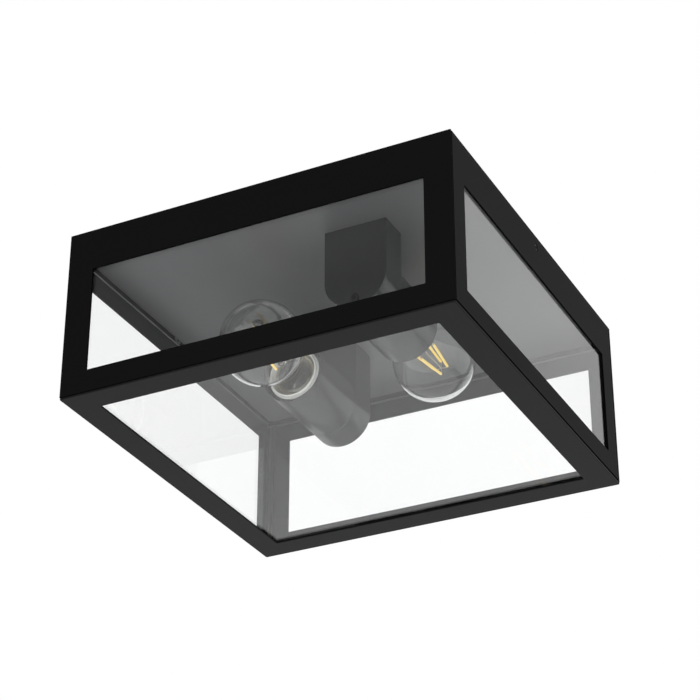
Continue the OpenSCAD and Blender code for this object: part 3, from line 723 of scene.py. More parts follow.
class LANTERN_OT_cage_sheets(bpy.types.Operator):
    """Makes the four side panels and the bottom frame with rounded and coated edges"""

    bl_idname = "lantern.cage_sheets"
    bl_label = "Cage sheets"

    def execute(self, context):
        size = sizes("lantern_cage")
        half = span("front_panel")[1].x
        window, sill = half - size.stile, FRAME_LOW.z + size.bottom_rail
        opening = box_outline(-window, sill, window, -size.top_rail, 0.6)
        screw_hole = disc(0, middle("right_set_screw")[2], size.screw_hole / 2)
        inner = 0.4 * size.sheet
        # Each panel is an inner layer in the dark edge finish, which is painted shade where it shows in the groove,
        # and an outer one with the coat
        for name, turn in (("front_panel", 0), ("right_panel", 90), ("rear_panel", 180), ("left_panel", 270)):
            low, high = span(name)
            reach = max(high.x - low.x, high.y - low.y) / 2
            place = turned(turn) @ facing((0, size.sheet - half, 0), X_AXIS, Z_AXIS, -Y_AXIS)
            # The left and right panels fit between the others, and their outer layer stops short at a groove
            if name in ("front_panel", "rear_panel"):
                holes, ends, foot = [opening], reach, 0.0
            else:
                holes, ends, foot = [opening, screw_hole], reach - size.groove / 2, size.groove
            panel = Piece()
            panel.plate(
                box_outline(-reach, low.z, reach, high.z, 0.3), 0, inner, place, holes,
                edges=(0.1, 0.0), slot=1, back=2,
            )
            panel.plate(
                box_outline(-ends, low.z + foot, ends, high.z, 0.2), inner, size.sheet, place, holes,
                edges=(0.0, size.cut_edge), side=1,
            )
            panel.done(name, "coated", "black_coat", "panel_coat", "bare_edge_coat", "rim_coat", body="cage")

        low, high = FRAME_LOW, FRAME_HIGH
        down = facing((0, 0, 0), X_AXIS, -Y_AXIS, -Z_AXIS)
        opening = box_outline(-window, -window, window, window, 0.6)
        step = size.groove / 3  # by which the upper layer stands back; it has the dark edge finish, painted shade for a dark line under the panels
        rim = Piece()
        rim.plate(
            box_outline(low.x + step, low.y + step, high.x - step, high.y - step, 1.0), -high.z, -high.z + step, down,
            [opening], edges=(0.1, 0.0), slot=1, back=0,
        )
        rim.plate(
            box_outline(low.x, low.y, high.x, high.y, 1.2), -high.z + step, -low.z, down, [opening],
            edges=(0.0, size.folded_edge), hole_edges=(0.0, size.cut_edge),
        )
        rim.done("bottom_frame", "coated", "black_coat", "rim_coat", "bare_edge_coat", body="cage")
        return {"FINISHED"}


class LANTERN_OT_panes(bpy.types.Operator):
    """Makes the five panes with a ground arris and tinted edges"""

    bl_idname = "lantern.panes"
    bl_label = "Panes"

    def execute(self, context):
        arris = sizes("lantern_cage").arris
        for name in ("front_glass", "rear_glass", "left_glass", "right_glass", "bottom_glass"):
            low, high = span(name)
            thin = min(range(3), key=lambda axis: high[axis] - low[axis])
            out = Vector([float(axis == thin) for axis in range(3)])
            across = (Y_AXIS, Z_AXIS, X_AXIS)[thin]
            up = out.cross(across)
            wide, tall, thick = ((high - low).dot(Vector(map(abs, way))) / 2 for way in (across, up, out))
            sheet = Piece()
            sheet.plate(
                box_outline(-wide, -tall, wide, tall, 1.0), -thick, thick, facing((low + high) / 2, across, up, out),
                edges=(arris, arris), side=1,
            )
            sheet.done(name, "cut", "pane_glass", "pane", "ground_edge", body="cage", crease=20)
        return {"FINISHED"}


class LANTERN_OT_glazing_trim(bpy.types.Operator):
    """Makes the tabs folded over the panes and the clear beads in the corners"""

    bl_idname = "lantern.glazing_trim"
    bl_label = "Glazing trim"

    def execute(self, context):
        low, high = span("glass_tabs")
        wall, leg = high.x, high.z - low.z
        glass_low, glass_high = span("front_glass")
        depth, thick, width, from_end = glass_high.y - glass_low.y, 0.9, 12.0, 34.0
        fold = rounded([
            (0, 0, 0.1), (depth, 0, 0.1), (depth, thick, 0.1), (thick, thick, 0.4), (thick, leg, 0.1), (0, leg, 0.1),
        ], steps=3)
        tabs = Piece()
        for turn, reach in ((0, glass_high.x), (180, glass_high.x), (90, wall - 0.3), (270, wall - 0.3)):
            for side in SIDES:
                spot = facing((side * (reach - from_end), -wall, low.z), Y_AXIS, Z_AXIS, X_AXIS)
                tabs.plate(fold, -width / 2, width / 2, turned(turn) @ spot, edges=(0.12, 0.12))
        tabs.done("glass_tabs", "folded", "black_coat", "panel_coat", body="cage")

        low, high = span("sealant_beads")
        wide, bead, sag = high.x, 2.5, 0.93
        scoop = [Vector((wide, wide)), Vector((wide - bead, wide))]
        scoop += arc((wide - bead, wide - bead), bead * sag, 90, 0, 10) + [Vector((wide, wide - bead))]
        beads = Piece()
        for turn in (0, 90, 180, 270):
            beads.plate(scoop, low.z, high.z, turned(turn))
        beads.done("sealant_beads", "drawn", "sealant", "clear_silicone", body="cage")
        return {"FINISHED"}


class LANTERN_OT_set_screws(bpy.types.Operator):
    """Makes the two set screws and the press nuts they turn in"""

    bl_idname = "lantern.set_screws"
    bl_label = "Set screws"

    def execute(self, context):
        pitch, depth, radius, socket = 0.8, 0.42, 2.5, 1.25
        for node, turn in (("right_set_screw", 0), ("left_set_screw", 180)):
            low, high = span(node)
            reach = high.x - low.x
            start = low.x if turn == 0 else -high.x
            rows = int(reach / pitch * 6)
            profile = [(0.0, 0.0), (1.3, 0.0), (1.75, 0.45)]
            profile += [(radius, height) for height in evenly(0.7, reach - 0.9, rows)]
            profile += [(radius - 0.3, reach), (1.5, reach), (socket, reach - 0.15), (socket, 1.25), (0.0, 0.95)]
            place = turned(turn) @ facing((start, 0, middle(node)[2]), Y_AXIS, Z_AXIS, X_AXIS)
            made = Piece()
            made.lathe(profile, place, steps=36, wave=thread(pitch, depth, core=radius - 0.1))
            made.done(node, "cut", "black_steel", "black_oxide", body=node)

        thick, across = 1.1, 4.55
        outside = span("press_nuts")[1].x
        nuts = Piece()
        for turn in (0, 180):
            spot = facing((outside - thick, 0, middle("press_nuts")[2]), Y_AXIS, Z_AXIS, X_AXIS)
            nuts.plate(
                disc(0, 0, across, 6), 0, thick, turned(turn) @ spot, [disc(0, 0, radius + 0.1)],
                edges=(0.15, 0.0), hole_edges=(0.2, 0.0),
            )
        nuts.done("press_nuts", "set", "zinc_steel", "zinc_plate", body="cage")
        return {"FINISHED"}


# ---------------------------------------------------------------- ceiling side


class LANTERN_OT_ceiling_pan(bpy.types.Operator):
    """Makes the ceiling pan with bent-up flanges, and its two screws"""

    bl_idname = "lantern.ceiling_pan"
    bl_label = "Ceiling pan"

    def execute(self, context):
        low, high = span("ceiling_pan")
        screws_low, screws_high = span("pan_screws")
        head = 4.0
        spacing = screws_high.x - head
        holes = [disc(side * spacing, 0, 2.25, 24) for side in SIDES]
        for lamp in both_lamps():
            foot = lamp.place @ Vector((0, sizes("lantern_lamps").bracket / 2, 0))
            holes.append(disc(foot.x, foot.y, WIRE_HOLE, 28))
            holes += [disc(foot.x + side * FOOT_SPACING, foot.y, 2.2, 20) for side in SIDES]
        outline = box_outline(low.x, low.y, high.x, high.y, 1.6)
        inside = box_outline(low.x + PAN_SHEET, low.y + PAN_SHEET, high.x - PAN_SHEET, high.y - PAN_SHEET, 0.8)
        web_top = low.z + PAN_SHEET
        pan = Piece()
        pan.plate(outline, low.z, web_top, holes=holes, edges=(1.1, 0.0), hole_edges=(0.15, 0.15))
        pan.plate(outline, web_top, high.z, holes=[inside], edges=(0.0, 0.2))
        pan.done("ceiling_pan", "folded", "black_coat", "pan_coat")

        held = screw(-low.z - 0.3, head, low.z - screws_low.z)
        pair = Piece()
        for side in SIDES:
            pair.add(held, facing((side * spacing, 0, low.z), X_AXIS, -Y_AXIS, -Z_AXIS))
        pair.done("pan_screws", "turned", "black_coat", "black_oxide")
        return {"FINISHED"}


class LANTERN_OT_crossbar(bpy.types.Operator):
    """Makes the slotted channel against the ceiling and the cable bush in it"""

    bl_idname = "lantern.crossbar"
    bl_label = "Crossbar and bush"

    def execute(self, context):
        low, high = span("ceiling_crossbar")
        sheet, slot_middle, slot_half, slot_r, bush_hole = 2.0, 40.0, 10.0, 2.75, 10.1
        screw_spacing, screw_hole = 75.0, 2.08
        holes = [disc(0, 0, bush_hole, 40)]
        holes += [disc(side * screw_spacing, 0, screw_hole, 20) for side in SIDES]
        for side in SIDES:
            x = side * slot_middle
            holes.append(box_outline(x - slot_half, -slot_r, x + slot_half, slot_r, slot_r))
        bar = Piece()
        bar.plate(
            box_outline(low.x, low.y, high.x, high.y, 0.6), high.z - sheet, high.z, holes=holes,
            edges=(0.0, 0.5), hole_edges=(0.2, 0.2),
        )
        for side in SIDES:
            near, far = sorted((side * (high.y - sheet), side * high.y))
            bar.plate(box_outline(low.x, near, high.x, far, 0.3), low.z, high.z - sheet, edges=(0.3, 0.0))
        bar.done("ceiling_crossbar", "folded", "zinc_steel", "zinc_plate")

        low, high = span("cable_bush")
        flange, barrel, bore, lip = high.x, 10.0, 5.5, low.z + 1.6
        bush = Piece()
        bush.lathe(rounded([
            (bore, low.z, 0.5), (flange, low.z, 0.6), (flange, lip, 0.3), (barrel, lip, 0.0),
            (barrel, high.z, 0.4), (bore, high.z, 0.5),
        ], steps=4), steps=48)
        bush.done("cable_bush", "moulded", "bush_rubber", "moulded_rubber")
        return {"FINISHED"}


class LANTERN_OT_wiring(bpy.types.Operator):
    """Makes the terminal block, the earth stud and the leads over the pan"""

    bl_idname = "lantern.wiring"
    bl_label = "Wiring"

    def execute(self, context):
        low, high = span("terminal_block")
        screws_low, screws_high = span("terminal_screws")
        clamp_radius = 1.68
        y, deep, tall = middle("terminal_block")[1], high.y - low.y, high.z - low.z
        seat = (screws_high.y - screws_low.y) / 2 - 1.7  # of each clamping screw, from the block's middle line
        entry, shoulder = low.z + tall * 0.36, low.z + tall * 0.5
        block = Piece()
        block.plate(box_outline(low.x, low.y, high.x, high.y, 0.8), low.z, shoulder, edges=(0.1, 0.4))
        for pole in (-1, 0, 1):
            x, wide, long = pole * POLE_PITCH, POLE_PITCH * 0.42, deep * 0.36
            block.plate(
                box_outline(x - wide, y - long, x + wide, y + long, 0.5), shoulder, high.z,
                holes=[disc(x, y + side * seat, 1.85, 24) for side in SIDES], edges=(0.0, 0.5), hole_edges=(0.0, 0.2),
            )
            for side in SIDES:
                mouth = facing((x, y + side * (deep / 2 + 0.02), entry), X_AXIS * side, -Z_AXIS, Y_AXIS * side)
                block.lathe([(1.4, -0.6), (1.9, -0.6), (2.0, 0.0), (1.7, 0.0)], mouth, steps=24)
        block.done("terminal_block", "moulded", "terminal_plastic", "terminal_moulding")

        # Each clamping screw is a disc with two raised bows, which leave its slot between them
        top, cut, slot_turn = screws_high.z - screws_low.z, 0.9, 0.22
        clamps = Piece()
        for pole in (-1, 0, 1):
            for side in SIDES:
                place = Matrix.Translation((pole * POLE_PITCH, y + side * seat, screws_low.z))
                clamps.plate(disc(0, 0, clamp_radius, 28), 0, top - cut, place, edges=(0.1, 0.0))
                for half in (0, math.pi):
                    turns = [half + a for a in evenly(slot_turn, math.pi - 2 * slot_turn, 12)]
                    bow = [Vector((clamp_radius * math.cos(a), clamp_radius * math.sin(a))) for a in turns]
                    clamps.plate(bow, top - cut, top, place, edges=(0.0, 0.1))
        clamps.done("terminal_screws", "turned", "brass", "stamped_brass")

        low, high = span("earth_stud")
        x, y, _ = middle("earth_stud")
        stud = Piece()
        stud.plate(disc(0, 0, 4.1, 6), 0.8, 4.0, Matrix.Translation((x, y, low.z)), edges=(0.3, 0.3))
        stud.add(screw(7.0, 0, 0), facing((x, y, high.z), X_AXIS, Y_AXIS, Z_AXIS))
        stud.done("earth_stud", "turned", "brass", "stamped_brass")

        self.lamp_leads(entry)
        self.earth_lead(entry)
        return {"FINISHED"}

    def lamp_leads(self, entry):
        """The lamps' leads from the block, over the pan and down into the lamps."""
        low, high = span("terminal_block")
        run = low.z + LEAD_RADIUS + 0.15
        bracket = sizes("lantern_lamps").bracket
        pairs = (("live", "brown_lead", -POLE_PITCH, (0, 1)), ("neutral", "blue_lead", 0.0, (1, 0)))
        for name, slot, pole, inner_ones in pairs:
            leads = Piece()
            for lamp, inner in zip(both_lamps(), inner_ones):
                # The first lamp's leads are laid out like the second's, and then turned half round
                flip = -1 if lamp.which == 1 else 1
                end_x, end_y, end_z = lamp.place.translation
                x, y = flip * end_x + (-1.5 if inner else 1.5), flip * end_y
                face = flip * (low.y + high.y) / 2 - (high.y - low.y) / 2
                turn = face - 4 - 3 * inner
                route = rounded([
                    (flip * pole, face + 3, entry, 0), (flip * pole, face - 1, entry, 2),
                    (flip * pole, turn, run, 2.6), (x, turn, run, 4), (x, y + bracket / 2, run, 3.4),
                    (x, y + bracket / 2, end_z, 4), (x, y + bracket + 2, end_z, 0),
                ], closed=False)
                half_round = turned(180 if lamp.which == 1 else 0)
                leads.rod([half_round @ point for point in route], LEAD_RADIUS, steps=14)
            leads.done(f"{name}_leads", "drawn", slot, f"{name}_insulation")

    def earth_lead(self, entry):
        """The earth lead from the block to its ring under the stud's nut."""
        low, high = span("terminal_block")
        pan_top, face, pole, thick = low.z, high.y, POLE_PITCH, 0.8
        run = pan_top + LEAD_RADIUS + 0.15
        x, y, _ = middle("earth_stud")
        lead = Piece()
        lead.rod(rounded([
            (pole, face - 3, entry, 0), (pole, face + 1, entry, 2), (pole, face + 4, run, 2.4),
            (x, face + 4, run, 2.6), (x, y + 5, run, 0),
        ], closed=False), LEAD_RADIUS, steps=14)
        under_nut = Matrix.Translation((x, y, pan_top))
        lead.plate(disc(0, 0, 4.4, 36), 0, thick, under_nut, [disc(0, 0, 2.08, 24)], edges=(0.1, 0.1), slot=1)
        tail = box_outline(x - 1.5, y + 4.0, x + 1.5, y + 6.5, 0.3)
        lead.plate(tail, pan_top, pan_top + thick, edges=(0.1, 0.1), slot=1)
        lead.rod([(x, y + 5.2, run), (x, y + 9.0, run)], 1.35, steps=16, slot=1)
        lead.done("earth_lead", "drawn", "earth_lead", "earth_insulation", "rolled_metal")


# ---------------------------------------------------------------- lamps


class LANTERN_OT_lamp_housings(bpy.types.Operator):
    """Makes the brackets and tubes of both lamps, with the screws that hold them"""

    bl_idname = "lantern.lamp_housings"
    bl_label = "Lamp housings"

    def execute(self, context):
        size = sizes("lantern_lamps")
        wall, long = size.wall, size.bracket
        for lamp in both_lamps():
            self.bracket(lamp, size)
            radius, mouth = lamp.radius, lamp.reach("lamp_tube")[1]
            tube = Piece()
            tube.lathe(rounded([
                (radius, long, 0.12), (radius, mouth, 0.5), (radius - wall, mouth, 0.5), (radius - wall, long, 0.12),
            ]), lamp.along(), steps=96)
            tube.done(f"lamp_tube_{lamp.which}", "drawn", "black_coat", "housing_coat")

        held = screw(long + 8.0, 3.0, Lamp(2).place.translation.y - span("holder_screws")[0].y)
        screws = Piece()
        for lamp in both_lamps():
            screws.add(held, lamp.place @ facing((0, 0, -size.screw_drop), X_AXIS, Z_AXIS, -Y_AXIS))
        screws.done("holder_screws", "turned", "zinc_steel", "black_oxide")

        low, high = span("foot_screws")
        web_top = span("ceiling_pan")[0].z + PAN_SHEET
        held = screw(web_top - low.z, 4.0, high.z - web_top)
        screws = Piece()
        for lamp in both_lamps():
            for side in SIDES:
                foot = lamp.place @ Vector((side * FOOT_SPACING, long / 2, 0))
                screws.add(held, Matrix.Translation((foot.x, foot.y, web_top)))
        screws.done("foot_screws", "turned", "zinc_steel", "zinc_plate")
        return {"FINISHED"}

    def bracket(self, lamp, size):
        """A hollow block, round below and square above, with the collar that carries the tube."""
        wall, long, radius, top = size.wall, size.bracket, lamp.radius, lamp.top
        bolt, wires = disc(0, -size.screw_drop, 2.2, 20), disc(0, 0, WIRE_HOLE, 28)

        def arch(reach, height):
            return arc((0, 0), reach, 180, 360, 40) + [Vector((reach, height)), Vector((-reach, height))]

        outline, place = arch(radius, top), lamp.along()
        made = Piece()
        made.plate(outline, 0, wall, place, [bolt], edges=(0.45, 0.0), hole_edges=(0.1, 0.0))
        made.plate(outline, wall, long - wall, place, [arch(radius - wall, top - wall)])
        made.plate(outline, long - wall, long, place, [bolt, wires], edges=(0.0, 0.15), hole_edges=(0.0, 0.1))
        collar, collar_end = radius - wall - 0.1, long + size.collar
        made.lathe(rounded([
            (collar, long, 0), (collar, collar_end, 0.4), (collar - wall, collar_end, 0.4), (collar - wall, long, 0),
        ]), place, steps=72)
        made.done(f"lamp_bracket_{lamp.which}", "folded", "black_coat", "housing_coat", crease=30)


class LANTERN_OT_lampholders(bpy.types.Operator):
    """Makes the cream lampholders with their screw shells and contact tongues"""

    bl_idname = "lantern.lampholders"
    bl_label = "Lampholders"

    def execute(self, context):
        size = sizes("lantern_lamps")
        for lamp in both_lamps():
            back, front = lamp.reach("screw_shell")
            self.body(lamp, size.bracket, back)
            self.shell(lamp, size, back, front)
            self.tongue(lamp, back)
        return {"FINISHED"}

    def body(self, lamp, seat, back):
        """The stepped moulding, from its seat on the bracket to its rounded lip."""
        lip = lamp.reach("lampholder_body")[1]
        flange, neck, throat, bore, well = 20.0, 18.6, 17.4, 14.1, lip - 33.0
        made = Piece()
        made.lathe(rounded([
            (0, seat, 0), (flange, seat, 0.4), (flange, lip - 2.8, 0.5), (neck, lip - 2.8, 0.35), (neck, lip, 0.6),
            (throat, lip, 0.6), (throat, well, 0.8), (bore, well, 0.3), (bore, back, 0.0), (0, back, 0),
        ], closed=False, steps=6), lamp.along(), steps=96, closed=False)
        made.done(f"lampholder_body_{lamp.which}", "moulded", "cream_plastic", "cream_thermoset")

    def shell(self, lamp, size, back, front):
        """The threaded brass shell, with a flared mouth and a turned-in back."""
        bore, outside, eye, thick, flare = 13.5, 14.0, 6.5, 0.5, front - 1.4
        heights = evenly(back + 3, flare - 1.0 - back - 3, 96)
        profile = [(eye, back), (outside, back)] + [(outside, height) for height in heights]
        profile += [(outside, flare), (15.2, front - 0.3), (15.3, front), (14.9, front), (bore, flare)]
        profile += [(bore, height) for height in reversed(heights)] + [(bore, back + thick), (eye, back + thick)]
        wave = thread(size.thread_pitch, size.thread_depth, lamp.bulb + 7.5, flare - 0.5, fade=2.0, phase=lamp.bulb)
        made = Piece()
        made.lathe(profile, lamp.along(), steps=96, wave=wave)
        made.done(f"screw_shell_{lamp.which}", "rolled", "brass", "stamped_brass", crease=50)

    def tongue(self, lamp, back):
        """The washer behind the shell and the strip that is bent up under the bulb's contact."""
        thick, tip, half = 0.8, lamp.bulb - 0.2, 2.5
        made = Piece()
        made.plate(disc(0, 0, 6.1, 40), back, back + thick, lamp.along(), edges=(0.1, 0.1))
        strip = rounded([
            (-3.0, back + 0.4, 0.1), (-2.2, back + 0.4, 0.1), (-2.2, tip - thick, 0.6), (3.0, tip - thick, 0.1),
            (3.0, tip, 0.1), (-3.0, tip, 1.2),
        ], steps=4)
        made.plate(strip, -half, half, lamp.place @ facing((0, 0, 0), Z_AXIS, Y_AXIS, -X_AXIS), edges=(0.12, 0.12))
        made.done(f"contact_tongue_{lamp.which}", "bent", "brass", "stamped_brass")


def envelope_profile(globe, total, neck, neck_end, tail_start, wall):
    """Radius and height of the bulb's glass from its tail to its nose, set in by a wall."""
    centre = total - globe
    sweep = ((centre - neck_end) ** 2 + neck**2 - globe**2) / (2 * (globe - neck))
    slope = math.degrees(math.atan2(centre - neck_end, neck + sweep))
    tail = rounded([
        (TAIL_RADIUS, tail_start, 0), (TAIL_RADIUS, CAP_END + 0.2, 1.2),
        (neck, CAP_END + 2.4, 3.0), (neck, neck_end, 0),
    ], closed=False, steps=6)
    waist = arc((neck + sweep, neck_end), sweep, 180, 180 - slope, 28)[1:]
    path = tail + waist + arc((0, centre), globe, -slope, 90, 64)[1:]
    if not wall:
        return [(max(point.x, 0.0), point.y) for point in path]
    moved = []
    for i, point in enumerate(path):
        way = (path[min(i + 1, len(path) - 1)] - path[max(i - 1, 0)]).normalized()
        moved.append((max(point.x - way.y * wall, 0.0), point.y + way.x * wall))
    moved[0] = (TAIL_RADIUS - wall, tail_start)
    moved[-1] = (0.0, total - wall)
    return moved


class LANTERN_OT_bulbs(bpy.types.Operator):
    """Makes both bulbs: glass, screw cap, insulator, contact, stem, wires and filament sticks"""

    bl_idname = "lantern.bulbs"
    bl_label = "Bulbs"

    def execute(self, context):
        size = sizes("lantern_lamps")
        for lamp in both_lamps():
            for make in (self.glass, self.cap, self.filament):
                make(lamp.which, lamp.along(lamp.bulb), size)
        return {"FINISHED"}

    def glass(self, which, place, size):
        """The envelope, and the stem that is sealed to its end and carries the filaments."""
        low, high = span(f"bulb_envelope_{which}")
        contact_low, contact_high = span(f"bulb_contact_{which}")
        total = max(high.y - contact_low.y, contact_high.y - low.y)
        base = total - (high.y - low.y)
        outline = partial(envelope_profile, globe=30.0, total=total, neck=14.0, neck_end=30.0, tail_start=base)
        envelope = Piece()
        envelope.lathe(outline(wall=0.0) + outline(wall=size.bulb_glass)[::-1], place, steps=128)
        envelope.done(
            f"bulb_envelope_{which}", "blown", "bulb_glass", "blown_glass", body=f"bulb_{which}", crease=60,
        )

        flare = rounded([
            (TAIL_RADIUS, base - 1.2, 0.3), (TAIL_RADIUS, base - 0.05, 0.3), (10.2, base, 2.0),
            (5.4, base + 4.5, 6.0), (3.0, base + 12, 8.0), (3.0, 46.0, 0),
        ], closed=False, steps=8)
        bore = rounded([
            (2.2, 44.0, 0), (2.2, base + 12, 8.0), (4.5, base + 4.2, 6.0), (9.3, base - 1.2, 0.5),
        ], closed=False, steps=8)
        stem = Piece()
        stem.lathe(flare + [(0.0, 46.4), (0.0, 43.0)] + bore, place, steps=48)
        # The pressed head is a ball that is flattened over the wires
        dome = [(max(point.x, 0.0), point.y) for point in arc((0, 0), 1.0, -90, 90, 16)]
        press = place @ Matrix.Translation((0, 0, 48.4)) @ Matrix.Diagonal((3.5, 1.7, 3.55, 1.0))
        stem.lathe(dome, press, steps=32, closed=False)
        stem.done(f"bulb_stem_{which}", "pressed", "bulb_glass", "stem_glass", body=f"bulb_{which}", crease=50)

    def cap(self, which, place, size):
        """The rolled cap, the black insulator behind it and the soldered contact."""
        radius, start, thick = 13.2, 5.0, 0.4
        heights = evenly(start + 2.5, CAP_END - start - 4.0, 84)
        profile = [(10.9, start), (11.6, start + 0.4), (radius - 0.4, start + 2.1)]
        profile += [(radius, height) for height in heights]
        profile += [(radius - 0.5, CAP_END - 1.2), (radius - 0.45, CAP_END - 0.2), (radius - 0.7, CAP_END)]
        profile += [(radius - 0.9, CAP_END - 0.2), (radius - 0.9, CAP_END - 1.2)]
        profile += [(radius - thick, height) for height in reversed(heights)]
        profile += [(radius - 0.9, start + 2.2), (10.5, start + 0.6), (10.4, start)]
        wave = thread(size.thread_pitch, size.thread_depth, start + 2.5, CAP_END - 1.2, fade=2.0)
        cap = Piece()
        cap.lathe(profile, place, steps=96, wave=wave)
        cap.done(f"bulb_cap_{which}", "rolled", "cap_metal", "rolled_metal", body=f"bulb_{which}", crease=50)

        insulator = Piece()
        insulator.lathe(rounded([
            (0, 1.6, 0), (5.6, 1.6, 0.3), (6.2, 2.2, 1.0), (9.6, 3.4, 2.0), (11.0, 4.6, 0.5), (10.9, start, 0.1),
            (0, start, 0),
        ], closed=False), place, steps=64, closed=False)
        insulator.done(f"bulb_insulator_{which}", "moulded", "black_glass", "black_insulator", body=f"bulb_{which}")

        contact = Piece()
        contact.lathe(rounded([
            (0, 1.6, 0), (5.0, 1.6, 0.2), (4.9, 1.0, 0.3), (3.6, 0.8, 0.3), (2.6, 0.1, 1.6), (0, 0.0, 0),
        ], closed=False), place, steps=40, closed=False)
        contact.done(f"bulb_contact_{which}", "soldered", "cap_metal", "solder", body=f"bulb_{which}_end")

    def filament(self, which, place, size):
        """The leaning sticks, and the wires that hold them between the stem's head and the support above it."""
        foot_height, tip_height, foot_reach, tip_reach, head = 52.0, 88.0, 9.5, 5.0, 51.4
        radius, wire, stub = size.stick / 2, 0.3, 0.42
        foot, tip = Vector((foot_reach, 0, foot_height)), Vector((tip_reach, 0, tip_height))
        way = (tip - foot).normalized()
        coated = (foot + way * 1.6, foot + way * 2.2, tip - way * 2.2, tip - way * 1.6)
        lower = rounded([
            (0.9, 0, head - 2.4, 0), (1.6, 0, head + 0.6, 0.8), (foot_reach - 1.4, 0, foot_height - 1.2, 1.2),
            (foot_reach, 0, foot_height, 0),
        ], closed=False)
        upper = rounded([
            (0.0, 0, tip_height - 0.6, 0), (tip_reach - 1.2, 0, tip_height + 0.2, 1.0),
            (tip_reach, 0, tip_height - 0.3, 0),
        ], closed=False)
        sticks, wires = Piece(), Piece()
        for turn in full_turn(size.sticks):
            at = place @ Matrix.Rotation(turn, 4, "Z")
            sticks.rod([at @ point for point in coated], radius, steps=20, ends=0.55)
            for end, sign in ((foot, 1), (tip, -1)):
                wires.rod([at @ end, at @ (end + way * 2.4 * sign)], stub, steps=8)
            for path in (lower, upper):
                wires.rod([at @ point for point in path], wire, steps=10, ends=0.4)
        mast = (Vector((0, 0, head + 0.1)), Vector((0, 0, tip_height - 0.4)))
        wires.rod([place @ point for point in mast], 0.55, steps=12, ends=0.8)
        sticks.done(f"filament_sticks_{which}", "coated", "phosphor", "amber_phosphor", body=f"bulb_{which}")
        wires.done(f"filament_wires_{which}", "bent", "cap_metal", "support_wire", body=f"bulb_{which}")


# ---------------------------------------------------------------- stage


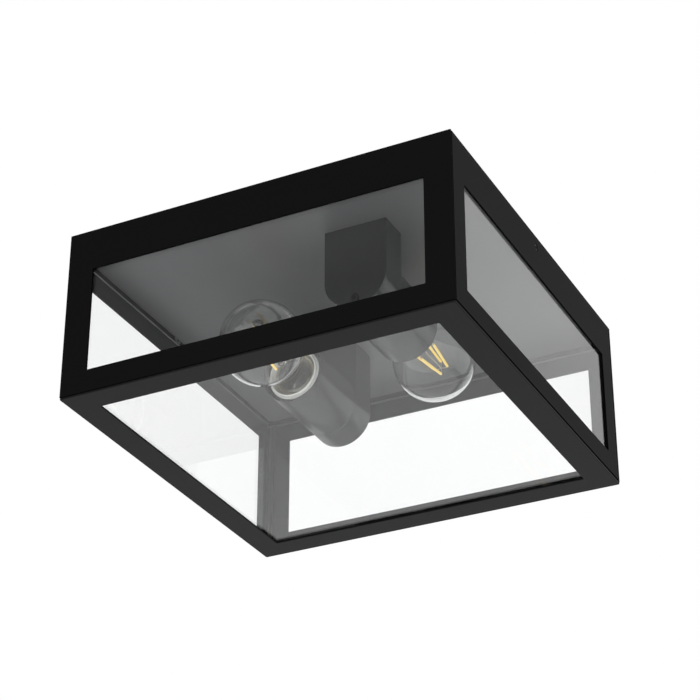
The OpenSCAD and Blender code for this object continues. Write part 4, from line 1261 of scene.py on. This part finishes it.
class LANTERN_OT_stage(bpy.types.Operator):
    """Sets up the floor, the white surround, the lamp and the camera"""

    bl_idname = "lantern.stage"
    bl_label = "Stage"

    def execute(self, context):
        stage = context.scene.lantern_stage
        self.floor(stage)
        self.surround(context.scene, stage)
        self.lamp(context.scene)
        self.camera(context.scene, stage)
        return {"FINISHED"}

    def floor(self, stage):
        reach, depth = 14.0, -stage.floor_depth
        corners = [(-reach, -reach, depth), (reach, -reach, depth), (reach, reach, depth), (-reach, reach, depth)]
        mesh = bpy.data.meshes.new("floor")
        mesh.from_pydata(corners, [], [(0, 1, 2, 3)])
        mesh.materials.append(finished("studio_floor"))
        floor = bpy.data.objects.new("floor", mesh)
        bpy.context.scene.collection.objects.link(floor)

    def surround(self, scene, stage):
        """A room that is white to the camera and behind glass, and lights and mirrors more dimly."""
        world = bpy.data.worlds.new("surround")
        scene.world = world
        tree = Tree(world, "ShaderNodeOutputWorld")
        way = tree.node("ShaderNodeTexCoord", output="Generated")

        def toward(x, y, z):
            inputs = {0: way, 1: Vector((x, y, z)).normalized()}
            return tree.node("ShaderNodeVectorMath", {"operation": "DOT_PRODUCT"}, inputs, output="Value")

        behind = toward(0.30, 1.0, 0.25).between(-0.15, 0.75)
        above = toward(0.0, 0.0, 1.0).between(0.5, 0.9)
        seen, through, glossy = tree.ray("Camera"), tree.ray("Transmission"), tree.ray("Glossy")
        mirrored = 0.25 + 0.47 * behind
        lighting = 0.32 + 1.05 * behind + 0.45 * above
        behind_glass = 1.17  # makes up for the light that two panes take
        hidden = glossy * mirrored + (1 - glossy) * lighting
        strength = seen.most(behind_glass * through) + (1 - seen.most(through)) * hidden
        inputs = {"Color": (1, 1, 1, 1), "Strength": strength * stage.surround}
        tree.surface(tree.node("ShaderNodeBackground", None, inputs))

    def lamp(self, scene):
        """One wide soft lamp below the front; no pane shows it."""
        spot, aim = Vector((0.5, -0.9, -1.35)), Vector((0.0, 0.0, -0.1))
        data = bpy.data.lights.new("soft_below", "AREA")
        data.energy, data.size, data.shape = 33.0, 2.0, "SQUARE"
        lamp = bpy.data.objects.new("soft_below", data)
        lamp.location = spot
        lamp.visible_transmission = lamp.visible_glossy = False
        lamp.rotation_euler = (aim - spot).to_track_quat("-Z", "Y").to_euler()
        scene.collection.objects.link(lamp)

    def camera(self, scene, stage):
        data = bpy.data.cameras.new("camera")
        data.sensor_width = 36.0
        data.lens = stage.lens
        data.clip_start, data.clip_end = 0.05, 50.0
        camera = bpy.data.objects.new("camera", data)
        camera.location = (0.59668, -1.19195, -0.80475)
        ahead = Vector((-0.390, 0.779, 0.490)).normalized()
        camera.rotation_mode = "QUATERNION"
        camera.rotation_quaternion = ahead.to_track_quat("-Z", "Y")
        scene.collection.objects.link(camera)
        scene.camera = camera
        scene.view_settings.view_transform = "Standard"


class LANTERN_PT_sidebar(bpy.types.Panel):
    """Lists the lantern's pieces in the 3D view's sidebar"""

    bl_label = "Ceiling lantern"
    bl_idname = "LANTERN_PT_sidebar"
    bl_space_type = "VIEW_3D"
    bl_region_type = "UI"
    bl_category = "Lantern"

    def draw(self, context):
        for group in GROUPS:
            box = self.layout.box()
            given = getattr(context.scene, group)
            for key in given.__annotations__:
                box.prop(given, key)
        for piece in PIECES:
            self.layout.operator(piece.bl_idname)


GROUPS = {
    "lantern_cage": LanternCageSizes,
    "lantern_lamps": LanternLampSizes,
    "lantern_colours": LanternColours,
    "lantern_stage": LanternStage,
}
PIECES = (
    LANTERN_OT_cage_sheets, LANTERN_OT_panes, LANTERN_OT_glazing_trim, LANTERN_OT_set_screws,
    LANTERN_OT_ceiling_pan, LANTERN_OT_crossbar, LANTERN_OT_wiring,
    LANTERN_OT_lamp_housings, LANTERN_OT_lampholders, LANTERN_OT_bulbs, LANTERN_OT_stage,
)


def register():
    for kind in (*GROUPS.values(), *PIECES, LANTERN_PT_sidebar):
        bpy.utils.register_class(kind)
    for name, kind in GROUPS.items():
        setattr(bpy.types.Scene, name, PointerProperty(type=kind))


def unregister():
    for name in GROUPS:
        delattr(bpy.types.Scene, name)
    for kind in reversed((*GROUPS.values(), *PIECES, LANTERN_PT_sidebar)):
        bpy.utils.unregister_class(kind)


def main():
    register()
    for piece in PIECES:
        family, name = piece.bl_idname.split(".")
        getattr(getattr(bpy.ops, family), name)()


if __name__ == "__main__":
    main()
